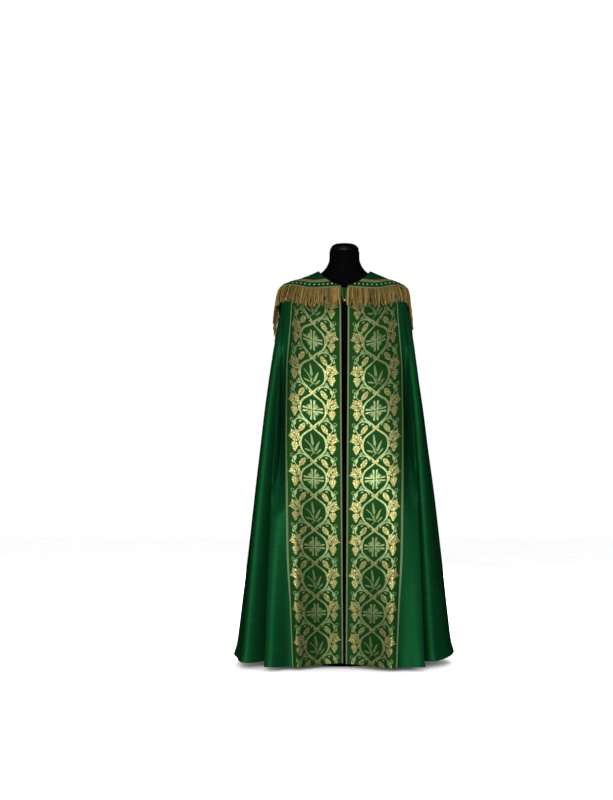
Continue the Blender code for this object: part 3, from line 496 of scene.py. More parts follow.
def hood_lift(across, down):
    """How far the hood's inner face stands off the smooth shape at a place."""
    away = np.abs(across)
    over_bands = smooth_step(HOOD_CLOSE_END, HOOD_OVER_START, away)
    edge = np.interp(away, EDGE_ACROSS[::-1], EDGE_DOWN[::-1])
    flare = np.where(across < 0, HOOD_FLARE_LEFT, HOOD_FLARE_RIGHT)
    flare = flare * hump(FLARE_PLACE, FLARE_REACH, away)
    flare = flare * np.clip(down / edge, 0, FLARE_MOST) ** 2
    full = HOOD_LIFT_BACK + (HOOD_LIFT_FRONT - HOOD_LIFT_BACK) * over_bands
    behind = 1 - smooth_step(HOOD_SEAT_START, HOOD_SEAT_END, away)
    sewn = behind * (1 - smooth_step(0, HOOD_SEAT_DEPTH, down))
    return full - (full - HOOD_LIFT_NECK) * sewn + flare


# ---------------------------------------------------------------- meshes


def pairs(first, second):
    """A grid of pairs of numbers, such as a UV map's, from two grids, rows or columns."""
    return np.stack(np.broadcast_arrays(first, second), -1)


def new_object(name, node, slot, finish_name, points, faces, smooth_angle=50, **layers):
    """A piece from points and arrays of equal-sided faces. It rides on the root body and, where a CAD
    node is named, takes its place. Each layer is a value per point: two numbers make a UV map in metres,
    and one makes a float attribute."""
    mesh = bpy.data.meshes.new(name)
    sides = np.concatenate([np.full(len(block), block.shape[1]) for block in faces])
    corners = np.concatenate([block.ravel() for block in faces])
    mesh.vertices.add(len(points))
    mesh.vertices.foreach_set("co", np.asarray(points, np.float32).ravel())
    mesh.loops.add(len(corners))
    mesh.loops.foreach_set("vertex_index", corners.astype(np.int32))
    mesh.polygons.add(len(sides))
    mesh.polygons.foreach_set("loop_start", (np.cumsum(sides) - sides).astype(np.int32))
    mesh.polygons.foreach_set("use_smooth", np.ones(len(sides), bool))
    for layer, values in layers.items():
        values = np.asarray(values, np.float32)
        if values.ndim == 2:
            mesh.uv_layers.new(name=layer).data.foreach_set("uv", values[corners].ravel())
        else:
            mesh.attributes.new(layer, "FLOAT", "POINT").data.foreach_set("value", values)
    mesh.update(calc_edges=True)
    mesh.validate()
    mesh.set_sharp_from_angle(angle=math.radians(smooth_angle))
    mesh.materials.append(finish(finish_name))
    piece = bpy.data.objects.new(name, mesh)
    bpy.context.scene.collection.objects.link(piece)
    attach(piece, "root")
    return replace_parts(piece, node) if node else piece


def quads(index):
    """Four-sided faces between the neighbours of a grid of point numbers."""
    return np.stack([index[:-1, :-1], index[:-1, 1:], index[1:, 1:], index[1:, :-1]], -1).reshape(-1, 4)


def rim_faces(edge, under):
    """Five-sided faces between an edge of the outer grid and the same edge of the inner one, which has
    every second point."""
    return np.stack([edge[2::2], edge[1::2], edge[:-1:2], under[:-1], under[1:]], -1)


def wall_faces(rows, columns):
    """Faces of a closed wall: the outer grid's quads, an inner grid of every second point with its
    quads turned round, and a rim of five-sided faces. rows and columns are odd."""
    outer = np.arange(rows * columns).reshape(rows, columns)
    inner_shape = (rows + 1) // 2, (columns + 1) // 2
    inner = rows * columns + np.arange(inner_shape[0] * inner_shape[1]).reshape(inner_shape)
    rims = [rim_faces(outer[0], inner[0]), rim_faces(outer[-1, ::-1], inner[-1, ::-1]),
            rim_faces(outer[::-1, 0], inner[::-1, 0]), rim_faces(outer[:, -1], inner[:, -1])]
    return [np.concatenate([quads(outer), quads(inner)[:, (0, 3, 2, 1)]]), np.concatenate(rims)]


def cloth_wall(name, node, slot, finish_name, points, normals, thickness, **layers):
    """A thin closed shell. The grid [down, across] is its outer face, and its inner face lies
    thickness below it along the normals."""

    def both(outer, inner):
        """Values of the outer face's points and then of the inner face's, which are every second one."""
        shape = (-1, *outer.shape[2:])
        return np.concatenate([outer.reshape(shape), inner[::2, ::2].reshape(shape)])

    layers = {key: both(grid, grid) for key, grid in layers.items()}
    return new_object(name, node, slot, finish_name, both(points, points - normals * thickness),
                      wall_faces(*points.shape[:2]), **layers)


def tube_faces(count, rings, sides):
    """Quads round the sides of count closed tubes, and a fan of one face at each of their ends."""
    index = np.arange(count * rings * sides).reshape(count, rings, sides)
    after = np.roll(index, -1, axis=2)
    around = np.stack([index[:, :-1], index[:, 1:], after[:, 1:], after[:, :-1]], -1).reshape(-1, 4)
    return [around, np.concatenate([index[:, 0], index[:, -1, ::-1]])]


def tubes(paths, ups, radii, sides):
    """Round tubes along paths [tube, ring, 3]. Each ring is a circle in the plane across the path,
    drawn from the direction ups, and radii holds its radius sideways and upwards [tube, ring, 2]."""
    tangent = unit(np.gradient(paths, axis=1))
    across = unit(np.cross(tangent, ups))
    upward = np.cross(across, tangent)
    turn = np.arange(sides)[:, None] / sides * 2 * math.pi
    out = (across[:, :, None] * np.cos(turn) * radii[:, :, None, :1]
           + upward[:, :, None] * np.sin(turn) * radii[:, :, None, 1:])
    return paths[:, :, None] + out


def round_piece(name, node, slot, finish_name, paths, ups, radii, turn, along, **layers):
    """A piece made of round tubes. Its UV map holds turn, a value for each side of a ring, and along, a
    length for each ring, and each layer is a value for each ring."""
    points = tubes(paths, ups, radii, len(turn))
    shape = points.shape[:3]
    spread = {key: np.broadcast_to(values[..., None], shape).ravel() for key, values in layers.items()}
    return new_object(name, node, slot, finish_name, points.reshape(-1, 3), tube_faces(*shape), 80,
                      cloth=pairs(turn, along[..., None]).reshape(-1, 2), **spread)


# ---------------------------------------------------------------- the brocade's figures, in millimetres

CELL = 130.0
BAND_HALF = 103.3
OUTSIDE = -1e3
INSIDE_LIMIT = 6.0
# Rows of cells, counted from the lowest whole cross: 1, metres above the hem and its square times these.
CELL_COUNTS = (-1.595, 8.240, -0.364)
STRAP_YS = (-66, -58, -51, -45, -39, -33, -25, -15, -5, 5, 15, 25, 33, 40, 48, 55, 60, 66)
STRAP_XS = (0, 6, 13, 20, 27.5, 34.5, 41, 45, 46.5, 46.5, 45, 41.5, 36.5, 29, 19, 9.5, 4.5, 0)
STRAP_HALF = 3.5
# Columns: foot, angle in radians, length.
WHEAT_EARS = (((-1.5, -3), 1.72, 42), ((5.5, -24), 1.16, 38))
GRAINS_PER_SIDE = 6
# Lines are given as points, half width and, where they taper, half width at the end.
WHEAT_STALKS = (
    ([(-2, 0), (-1, -16), (-1, -33)], 1.2),
    ([(8, -21), (2, -28), (-1, -34)], 1.2),
    ([(-30, 15), (-20, 6), (-11, -4), (-6, -15), (-2, -28)], 1.9, 2.6),
    ([(-9.5, -43.5), (-4, -36), (2, -32), (11, -30.5), (17, -38)], 1.5, 1.2),
)
# Leaves are given as foot, angle in radians, length and width.
WHEAT_LEAVES = (((-7, -26), 2.85, 27, 7.5), ((13, -32), 0.85, 24, 7.0))
LEAF_CENTRE = (68, 24)
LEAF_RADIUS = 27.5
LEAF_TURN = 0.98
LEAF_VEINS = (
    ([(60, 13), (68, 24), (80, 42)], 1.2, 0.6),
    ([(60, 13), (52, 19)], 0.9, 0.5),
    ([(62, 16), (55, 41)], 0.9, 0.5),
    ([(62, 14), (88, 19)], 0.9, 0.5),
    ([(61, 13), (69, 3)], 0.9, 0.5),
    ([(68, 24), (64, 40)], 0.9, 0.5),
    ([(68, 24), (82, 30)], 0.9, 0.5),
)
# Each row of grapes: its height and the grapes' places across.
GRAPE_ROWS = ((-4, (61.5, 69, 76.5)), (-11, (58.5, 65.3, 72.2, 79)), (-18, (62, 68.7, 75.5)),
              (-25, (65.3, 72.2)), (-31, (68.7,)))
GRAPE_RADII = (4.0, 3.9)
BERRIES = ((46, -36), (55, -35), (50.6, -28))


def ellipse(x, y, centre, radii, turn=0.0):
    """About how far inside a turned ellipse a place is: its least radius times one minus its share of
    the way out."""
    dx, dy = x - centre[0], y - centre[1]
    along = dx * math.cos(turn) + dy * math.sin(turn)
    beside = dy * math.cos(turn) - dx * math.sin(turn)
    return (1 - np.hypot(along / radii[0], beside / radii[1])) * min(radii)


def stroke(x, y, points, half, end_half=None):
    """How far inside a drawn line a place is: its half width, which may taper, less the distance to
    the nearest stretch."""
    points = np.asarray(points, float)
    end_half = half if end_half is None else end_half
    best = np.full(np.shape(x), OUTSIDE)
    count = len(points) - 1
    for k in range(count):
        way = points[k + 1] - points[k]
        share = np.clip(((x - points[k, 0]) * way[0] + (y - points[k, 1]) * way[1]) / (way @ way), 0, 1)
        distance = np.hypot(x - points[k, 0] - share * way[0], y - points[k, 1] - share * way[1])
        best = np.maximum(best, half + (end_half - half) * (k + share) / count - distance)
    return best


def petal(x, y, base, angle, length, width):
    """How far inside a pointed leaf a place is: half the width times the root of a sine along it, less
    the distance from its middle line. Angle is in radians."""
    dx, dy = x - base[0], y - base[1]
    along = (dx * math.cos(angle) + dy * math.sin(angle)) / length
    beside = np.abs(dy * math.cos(angle) - dx * math.sin(angle))
    half = width / 2 * np.sqrt(np.sin(math.pi * np.clip(along, 0, 1)).clip(0))
    over = np.maximum(np.abs(along - 0.5) - 0.5, 0) * length
    return half - np.hypot(beside, over * 3)


def drawn(x, y, strokes=(), ellipses=(), petals=()):
    """How far inside any of the given shapes a place is: the greatest of their values."""
    found = np.full(np.shape(x), OUTSIDE)
    for shape, rows in ((stroke, strokes), (ellipse, ellipses), (petal, petals)):
        for row in rows:
            found = np.maximum(found, shape(x, y, *row))
    return found


def arc_points(centre, radius, start, stop, count, end_radius=None):
    """Points of an arc or, where the radius changes, of a spiral. Angles are in degrees."""
    turn = np.radians(np.linspace(start, stop, count))
    size = np.linspace(radius, radius if end_radius is None else end_radius, count)
    return np.stack([centre[0] + size * np.cos(turn), centre[1] + size * np.sin(turn)], axis=1)


def lobed(x, y, centre, turn, rim):
    """How far inside a lobed outline a place is. rim gives the outline's radius at an angle."""
    angle = np.arctan2(y - centre[1], x - centre[0]) - turn
    return rim(angle) - np.hypot(x - centre[0], y - centre[1])


def cross_figure(x, y):
    """A cross with two slender flaring petals to each arm, and three short rays between two arms."""
    x, y = np.abs(x), np.abs(y)
    arm = (([(2, 4.4), (20, 5.0), (34, 6.6)], 2.3, 3.9), ([(10, 9.6), (23, 13.5)], 1.9, 1.3))
    ray = ([(8, 8), (18, 18)], 2.2, 1.5)
    return np.maximum(drawn(x, y, (*arm, ray)), drawn(y, x, arm))


def wheat_figure(x, y):
    """Two leaning ears of wheat, a slender leaf, two small leaves and an arching stalk at the foot."""
    grains = []
    for foot, angle, length in WHEAT_EARS:
        way = np.array([math.cos(angle), math.sin(angle)]) * length
        for share in np.linspace(0.0, 0.72, GRAINS_PER_SIDE):
            lean = 0.42 - share * 0.15
            grains += [(foot + way * share, angle + turn, 12.0 - 5.0 * share, 4.0) for turn in (-lean, lean)]
        grains.append((foot + way * 0.7, angle, 17, 4.0))
    return np.maximum(drawn(x, y, WHEAT_STALKS, petals=grains), drawn(x, y, petals=WHEAT_LEAVES) - 0.2)


def vine_figures(x, y, knot_y):
    """The lattice of straps with its vine, mirrored left to right: a five-lobed leaf with a toothed rim,
    a bunch of grapes, berries, tendrils, buds and knots. Gives how far inside the gold a place is, and
    how far inside the rosier leaves, buds and knots, which are gold too."""
    x = np.abs(x)
    reach = np.interp(y, STRAP_YS, STRAP_XS)
    slope = (np.interp(y + 2, STRAP_YS, STRAP_XS) - np.interp(y - 2, STRAP_YS, STRAP_XS)) / 4
    strap = STRAP_HALF - np.abs(x - reach) / np.sqrt(1 + slope ** 2)
    berries = [1.3 - np.abs(np.hypot(x - centre[0], y - centre[1]) - 3.0) for centre in BERRIES]
    stem = drawn(x, y, strokes=(([(52, 5), (58, 14)], 1.4),))
    tendrils = drawn(x, knot_y, strokes=(
        (arc_points((45, 0), 26, 160, -62, 19, 27), 2.3, 1.8),
        ([(46, -17), (53, -21), (61, -21)], 1.6),
        (arc_points((78.5, 15), 8.4, -150, 260, 14, 3.2), 1.3, 1.1),
        ([(72.5, 9), (79, 0), (76, -7)], 1.3),
    ), ellipses=(((67.5, 5.5), (10, 4.0), 1.9), ((47, 16.5), (6, 2.6), -0.5), ((78, -9), (6, 3.2), 1.1)))
    leaf = lobed(x, y, LEAF_CENTRE, LEAF_TURN, lambda angle: LEAF_RADIUS * (
        1.0 - 0.34 * np.abs(np.sin(2.5 * angle)) ** 0.8 + 0.06 * np.cos(15 * angle)))
    leaf = np.minimum(leaf, -drawn(x, y, LEAF_VEINS))
    grapes = [((grape_x, row_y), GRAPE_RADII) for row_y, row_xs in GRAPE_ROWS for grape_x in row_xs]
    node = ((49.5, -2), (10, 5.4), math.pi / 2)
    bud = drawn(x, knot_y, ellipses=[((46, -9), (9, 7.5), 2.6)], petals=[((51, -21), 2.13, 39, 20)])
    bud = bud - np.abs(np.sin(knot_y * 0.75)) * 1.1
    bud = np.minimum(bud, -stroke(x, knot_y, [(49, -18), (33, 8)], 0.7))
    knot = lobed(x, knot_y, (0, 0), math.pi / 4, lambda angle: 8.5 * (0.86 + 0.14 * np.cos(4 * angle)))
    knot = np.maximum(knot, ellipse(x, knot_y, (9, 2), (5, 3.6), 0.3))
    rosy = np.maximum.reduce([leaf, bud, knot, drawn(x, y, ellipses=[node, *grapes])])
    return np.maximum.reduce([strap, stem, tendrils, *berries, rosy]), rosy


def brocade_figures(u, v):
    """Three values at each place of a band, in millimetres inside each kind of figure: the gold vine
    and crosses, the duller wheat, and the rosier leaves, buds and knots."""
    cell = np.round(v / CELL)
    y = v - cell * CELL
    knot_y = y - np.where(y > 0, 0.5, -0.5) * CELL
    gold, rose = vine_figures(u, y, knot_y)
    is_cross = np.mod(cell, 2) == 0
    gold = np.where(is_cross, np.maximum(gold, cross_figure(u, y)), gold)
    wheat = np.where(is_cross, OUTSIDE, wheat_figure(u, y))
    return tuple(np.clip(values, -INSIDE_LIMIT, INSIDE_LIMIT) for values in (gold, wheat, rose))


# ---------------------------------------------------------------- settings in the sidebar


def linear(hex_colour):
    """A hex sRGB colour as linear red, green and blue."""
    parts = [int(hex_colour[k:k + 2], 16) / 255 for k in (1, 3, 5)]
    return tuple(part / 12.92 if part <= 0.04045 else ((part + 0.055) / 1.055) ** 2.4 for part in parts)


def setting(kind, name, description, default, least, most, **kinds):
    """A number or a length in the sidebar, between two limits."""
    return kind(name=name, description=description, default=default, min=least, max=most, **kinds)


def colour_setting(name, description, hex_colour):
    """A colour in the sidebar."""
    return setting(bpy.props.FloatVectorProperty, name, description, linear(hex_colour), 0.0, 1.0,
                   subtype="COLOR", size=3)


NUMBER = bpy.props.FloatProperty
COUNT = bpy.props.IntProperty
LENGTH = {"unit": "LENGTH", "subtype": "DISTANCE", "precision": 4}
POWER = {"unit": "POWER"}


class CopeSizes(bpy.types.PropertyGroup):
    fringe_length: setting(NUMBER, "Fringe length", "From the hood's edge to the strands' ends",
                           0.074, 0.02, 0.12, **LENGTH)
    braid_width: setting(NUMBER, "Braid width", "Width of the braids along both edges of a band",
                         0.008, 0.004, 0.015, **LENGTH)
    thread: setting(NUMBER, "Embroidery cord", "Half the thickness of the hood's stitched cords",
                    0.0013, 0.0005, 0.003, **LENGTH)
    strands: setting(COUNT, "Fringe strands", "Strands on each side of the hood, in one layer", 118, 40, 200)
    cloth_columns: setting(COUNT, "Cloth columns", "Points round the cope, an odd number", 301, 101, 401)


class CopeColours(bpy.types.PropertyGroup):
    satin: colour_setting("Satin", "Green of the cope and the hood", "#073017")
    ground: colour_setting("Brocade ground", "Green between the woven figures", "#0B280A")
    gold: colour_setting("Woven gold", "Gilt thread of the bands", "#5D6A46")
    rose: colour_setting("Rose thread", "Leaves, buds and knots of the bands", "#65583B")
    bullion: colour_setting("Bullion", "Strands of the fringe", "#6E5B2D")
    braid: colour_setting("Braid", "Twisted braids along the bands", "#66724F")
    galloon: colour_setting("Galloon", "Gold braid round the hood", "#6B643A")
    mint: colour_setting("Mint stitches", "Dots of the hood's green braid", "#71906F")
    jersey: colour_setting("Jersey", "Cover of the dress form", "#020202")


class StageSettings(bpy.types.PropertyGroup):
    distance: setting(NUMBER, "Camera distance", "From the pole to the camera", 5.0, 2.0, 12.0, **LENGTH)
    height: setting(NUMBER, "Camera height", "Height of the level camera", 0.75, 0.2, 2.0, **LENGTH)
    shift_x: setting(NUMBER, "Shift across", "Sideways shift of the lens", -0.0474, -0.3, 0.3)
    shift_y: setting(NUMBER, "Shift up", "Upward shift of the lens", 0.0868, -0.3, 0.3)
    key_power: setting(NUMBER, "Key light", "Power of the large front light", 285.0, 0.0, 2000.0, **POWER)
    fill_power: setting(NUMBER, "Fill light", "Power of the right-hand light", 15.0, 0.0, 2000.0, **POWER)
    rear_power: setting(NUMBER, "Rear light", "Power of the large light behind", 400.0, 0.0, 2000.0, **POWER)
    sky: setting(NUMBER, "Room light", "Strength of the even light from all round", 1.0, 0.0, 3.0)


def sizes():
    """The lengths and counts in the sidebar."""
    return bpy.context.scene.cope_sizes


def tone(colour, factor=1.0):
    """A colour times a factor. The colour is the name of a setting, or a hex value."""
    parts = linear(colour) if colour.startswith("#") else getattr(bpy.context.scene.cope_colours, colour)
    return (*(min(1.0, part * factor) for part in parts), 1.0)


# ---------------------------------------------------------------- finishes

SMOOTH = {"interpolation_type": "SMOOTHSTEP"}
# A Mix node's colours are its seventh and eighth inputs and its third output.
FIRST_COLOUR, SECOND_COLOUR = 6, 7
COLOURS = {"data_type": "RGBA", "out": 2}
GREEN_GLEAM = (0.16, 0.75, 0.34, 1.0)
FULL_TURN = 2 * math.pi
BULLION_PITCH = 0.0075
GILT_SOCKETS = {"Roughness": 0.45, "Metallic": 0.3, "Specular IOR Level": 0.2}


def fill(tree, node, inputs):
    """Fills a node's inputs: links those that are given as another node's output, and sets the rest."""
    for key, item in inputs:
        if isinstance(item, bpy.types.NodeSocket):
            tree.links.new(item, node.inputs[key])
        else:
            node.inputs[key].default_value = item


def add(tree, kind, inputs=(), out=0, **settings):
    """Adds a node and gives one of its outputs. Its inputs are in order or by name, and settings are
    its own properties."""
    node = tree.nodes.new("ShaderNode" + kind)
    for name, value in settings.items():
        setattr(node, name, value)
    fill(tree, node, inputs.items() if isinstance(inputs, dict) else enumerate(inputs))
    return node.outputs[out]


def grain(tree, size, detail=2.0, roughness=0.6, uv="cloth"):
    """A cloudy pattern with patches of about size millimetres, on a UV map in metres or, where none is
    named, in the object itself."""
    source = add(tree, "UVMap", uv_map=uv) if uv else add(tree, "TexCoord", out="Object")
    scale = [1000.0 / length for length in (*size, 1000.0)[:3]]
    place = add(tree, "Mapping", {"Vector": source, "Scale": scale})
    return add(tree, "TexNoise", {"Vector": place, "Scale": 1.0, "Detail": detail, "Roughness": roughness})


def lay(tree, colour, *layers):
    """Lays colours over a first one. Each layer is a share and a colour. The share is an output, or an
    output with the two values between which it rises and, where they aren't 0 and 1, its two ends."""
    for share, over in layers:
        if isinstance(share, tuple):
            share = add(tree, "MapRange", share, **SMOOTH)
        colour = add(tree, "Mix", {"Factor": share, FIRST_COLOUR: colour, SECOND_COLOUR: over}, **COLOURS)
    return colour


def plies(tree, pitch, lean=0.0):
    """A wave from 0 to 1 that repeats each pitch in metres along a strip or a cord, and leans across."""
    uv = add(tree, "UVMap", uv_map="cloth")
    across, along = (add(tree, "SeparateXYZ", (uv,), axis) for axis in "XY")
    slant = add(tree, "Math", (across, lean), operation="MULTIPLY")
    turn = add(tree, "Math", (along, 2 * math.pi / pitch, slant), operation="MULTIPLY_ADD")
    swing = add(tree, "Math", (turn,), operation="SINE")
    return add(tree, "Math", (swing, 0.5, 0.5), operation="MULTIPLY_ADD")


def off_middle(tree):
    """How far a place is from a strip's middle line: 0 there, and 0.5 at the strip's edges."""
    across = add(tree, "SeparateXYZ", (add(tree, "UVMap", uv_map="cloth"),), "X")
    signed = add(tree, "Math", (across, 0.5), operation="SUBTRACT")
    return add(tree, "Math", (signed,), operation="ABSOLUTE")


def satin_colour(tree, colour):
    """Fine level slubs in the weft, 70 mm long and 3 mm high, over a slow change of tone. Gives the
    slubs too."""
    slubs = grain(tree, (71.43, 3.0303), 3.0)
    slow = grain(tree, (200, 200), 2.0, 0.55)
    streaked = lay(tree, tone(colour, 0.84), ((slubs, 0.3, 0.7), tone(colour, 1.14)),
                   ((slow, 0.3, 0.7, 0.0, 0.22), tone(colour, 0.72)))
    return streaked, slubs


def satin_finish(tree):
    """Duchesse satin, woven: deep green with a soft broad sheen, and a fine level rib and slubs that
    break the light along the folds. The rib is 3.5 mm wide, coarser than the real one, so that it
    shows: a wave texture turns by 20 radians a unit, here times 90."""
    colour, slubs = satin_colour(tree, "satin")
    level = add(tree, "Mapping", {"Vector": add(tree, "UVMap", uv_map="cloth"), "Scale": (0, 1, 0)})
    rib = add(tree, "TexWave", {"Vector": level, "Scale": 90.0, "Distortion": 0.6, "Detail": 1.0}, "Fac",
              bands_direction="Y")
    height = add(tree, "Math", (rib, 0.35, slubs), operation="MULTIPLY_ADD")
    return colour, (height, 0.0005, 0.55), {
        "Roughness": 0.44, "Metallic": 0.35, "Specular IOR Level": 0.03, "Specular Tint": GREEN_GLEAM}


def brocade_finish(tree):
    """Gilt brocade, woven: figures of flat gilt thread stand a hair above a green satin ground. The
    gilt is part metal, so it flashes pale or goes brown with the light. On top of that, brown patches
    are painted in as dull sheen, and pale flecks are painted in as highlights."""
    gold, wheat, rose = (add(tree, "Attribute", out="Fac", attribute_name=name)
                         for name in ("gold", "wheat", "rose"))
    # Painted dull sheen: brown patches about 50 mm wide, as if the gilt caught less light there.
    painted_sheen_patches = grain(tree, (45.45, 62.5), 3.0)
    thread = grain(tree, (1.4286, 6.25))
    # Painted highlight: pale flecks a few millimetres wide, as if single gilt threads caught the light.
    painted_glint = grain(tree, (3.0303, 3.3333))
    mottle = grain(tree, (5.2632, 6.6667), 2.0, 0.55)
    mottled = add(tree, "Math", (add(tree, "MapRange", (rose, -0.6, 0.6), **SMOOTH),
                                 add(tree, "MapRange", (mottle, 0.35, 0.65, 0.35, 0.95), **SMOOTH)),
                  operation="MULTIPLY")
    gilt = lay(tree, tone("gold"), ((painted_sheen_patches, 0.40, 0.66), tone("gold", 0.60)),
               ((thread, 0.42, 0.62, 0.0, 0.75), tone("gold", 0.40)),
               ((painted_glint, 0.52, 0.68, 0.0, 0.9), tone("gold", 1.5)), (mottled, tone("rose")))
    is_gold = add(tree, "MapRange", (gold, -0.5, 0.5), **SMOOTH)
    is_wheat = add(tree, "MapRange", (wheat, -0.5, 0.5, 0.0, 0.72), **SMOOTH)
    # The leaves and buds are broken by brown and green stitches a few millimetres long.
    stitches = grain(tree, (4.3478, 5.0))
    in_leaf = add(tree, "MapRange", (rose, -0.2, 0.8), **SMOOTH)
    shares = [add(tree, "MapRange", (stitches, *ends), **SMOOTH)
              for ends in ((0.47, 0.57, 0.0, 0.85), (0.42, 0.36, 0.0, 0.9))]
    brown, green = (add(tree, "Math", (in_leaf, share), operation="MULTIPLY") for share in shares)
    colour = lay(tree, satin_colour(tree, "ground")[0], (is_wheat, tone("gold", 0.8)), (is_gold, gilt),
                 (brown, tone("#4A4416")), (green, tone("#93A26B")))
    covered = add(tree, "Math", (is_gold, is_wheat), operation="MAXIMUM")
    height = add(tree, "Math", (thread, 0.5, covered), operation="MULTIPLY_ADD")
    return colour, (height, 0.0006, 0.6), {
        "Metallic": add(tree, "Math", (covered, 0.35, 0.25), operation="MULTIPLY_ADD"),
        "Roughness": add(tree, "MapRange", (covered, 0.0, 1.0, 0.46, 0.36), **SMOOTH),
        "Specular IOR Level": 0.05, "Specular Tint": (0.5, 0.8, 0.4, 1.0)}


def braid_finish(tree, colour, factor, pitch, lean, seam_shade):
    """Gold braid, plaited: slanting plies with painted shade in the seams between them, and a little
    metal thread with painted highlights. The colour is taken times a factor, and the seams' painted
    shade once more times its own factor."""
    ply, painted_glint = plies(tree, pitch, lean), grain(tree, (3.8462, 7.6923))
    # Painted highlight: pale flecks on the metal thread.
    thread = lay(tree, tone(colour, factor * 0.72), ((painted_glint, 0.35, 0.7), tone(colour, factor * 1.12)))
    # Painted shade: the seams between the plies are darkened.
    plaited = lay(tree, tone(colour, factor * seam_shade), ((ply, 0.0, 0.55), thread))
    return plaited, (add(tree, "Math", (ply, painted_glint), operation="ADD"), 0.0007, 0.7), GILT_SOCKETS


def galloon_finish(tree):
    """Gold galloon, woven: two fields of fine gilt rib with a thin red-brown line between them. The
    grooves between the ribs are darkened as painted shade, and pale streaks are painted highlights.
    """
    middle, rib, painted_glint = off_middle(tree), plies(tree, GALLOON_RIB), grain(tree, (333.33, 3.3333), 3.0)
    # Painted highlight: pale streaks across the ribs. Painted shade: the rib's grooves are darkened.
    colour = lay(tree, tone("galloon", 0.66), ((painted_glint, 0.3, 0.7), tone("galloon", 1.2)),
                 ((rib, 0.0, 0.4, 0.55, 0.0), tone("galloon", 0.4)),
                 ((middle, 0.05, 0.11, 0.85, 0.0), tone("#5A2A1A")),
                 ((middle, 0.44, 0.5, 0.0, 0.7), tone("galloon", 0.35)))
    return colour, (add(tree, "Math", (rib, painted_glint), operation="ADD"), 0.0006, 0.7), GILT_SOCKETS


def dotted_finish(tree):
    """Green braid, woven, with a row of mint satin-stitch dots between two pale edge stitches."""
    dot = add(tree, "Attribute", out="Fac", attribute_name="dot")
    weave, stitch = grain(tree, (25, 2.381)), grain(tree, (16.667, 0.66667), 1.0, 0.5)
    colour = lay(tree, tone("satin", 0.45), ((weave, 0.3, 0.7), tone("satin", 0.8)),
                 ((off_middle(tree), 0.42, 0.49, 0.0, 0.55), tone("galloon")),
                 ((dot, -0.5, 0.7), tone("mint")))
    return colour, (add(tree, "Math", (weave, stitch), operation="ADD"), 0.0004, 0.5), {
        "Roughness": 0.55, "Specular IOR Level": 0.02, "Specular Tint": GREEN_GLEAM}


def bullion_finish(tree):
    """Bullion fringe, twisted: dull gold strands, each with its own tone, with the turns between them
    darkened as painted shade.
    """
    tint = add(tree, "Attribute", out="Fac", attribute_name="tint")
    ply = plies(tree, BULLION_PITCH, FULL_TURN)
    # Painted shade: the twist's grooves are darkened. The tint also holds one layer's painted shade.
    colour = lay(tree, tone("bullion", 0.50), (tint, tone("bullion", 2.0)),
                 ((ply, 0.0, 0.6, 0.9, 0.0), tone("bullion", 0.22)))
    return colour, (ply, 0.0009, 0.8), {"Metallic": 0.15, "Specular IOR Level": 0.2}


def jersey_finish(tree):
    """Cotton jersey, knitted and stretched over the form: matt black with a fine stitch."""
    knit = grain(tree, (1.1111, 1.1111, 1.4286), 1.0, 0.5, "")
    slow = grain(tree, (111.11, 111.11, 166.67), 2.0, 0.55, "")
    colour = lay(tree, tone("jersey", 0.8), ((slow, 0.3, 0.7), tone("jersey", 1.25)))
    return colour, (knit, 0.0003, 0.4), {"Roughness": 0.85, "Specular IOR Level": 0.02}


def cap_finish(tree):
    """Neck cap, moulded: satin black with a faint grain, so that it takes one soft highlight."""
    fine = grain(tree, (2, 2, 2), 2.0, 0.5, "")
    colour = lay(tree, tone("jersey", 0.8), ((fine, 0.3, 0.7), tone("jersey", 1.1)))
    return colour, (fine, 0.0002, 0.25), {"Roughness": 0.45, "IOR": 1.46, "Specular IOR Level": 0.12}


def stand_finish(tree):
    """Stand steel, powder coated: satin black with orange peel and slightly worn tone."""
    peel = grain(tree, (4.1667, 4.1667, 4.1667), 2.0, 0.5, "")
    worn = grain(tree, (62.5, 62.5, 62.5), 3.0, 0.55, "")
    colour = lay(tree, tone("#040404"), ((worn, 0.35, 0.7), tone("#080808")))
    return colour, (peel, 0.0003, 0.3), {"Specular IOR Level": 0.05}


def nickel_finish(tree):
    """Nickel wire, drawn and worn: warm grey metal with fine scratches, which also vary its gloss."""
    scratches = grain(tree, (3.3333, 3.3333, 0.41667), 3.0, 0.6, "")
    colour = lay(tree, tone("#7D745F"), ((scratches, 0.35, 0.7), tone("#958C74")))
    return colour, None, {"Metallic": 1.0,
                          "Roughness": add(tree, "MapRange", (scratches, 0.3, 0.7, 0.22, 0.38), **SMOOTH)}


def acrylic_finish(tree):
    """Floor of frosted acrylic, cast and lit a little from below: near white with a barely seen mottle."""
    mottle = grain(tree, (333.33, 333.33, 333.33), 3.0, 0.55, "")
    colour = lay(tree, tone("#F6F6F6"), ((mottle, 0.3, 0.7), tone("#FAFAFA")))
    return colour, None, {"Roughness": 0.9, "IOR": 1.4, "Specular IOR Level": 0.05,
                          "Emission Color": (1.0, 1.0, 1.0, 1.0), "Emission Strength": 0.05}


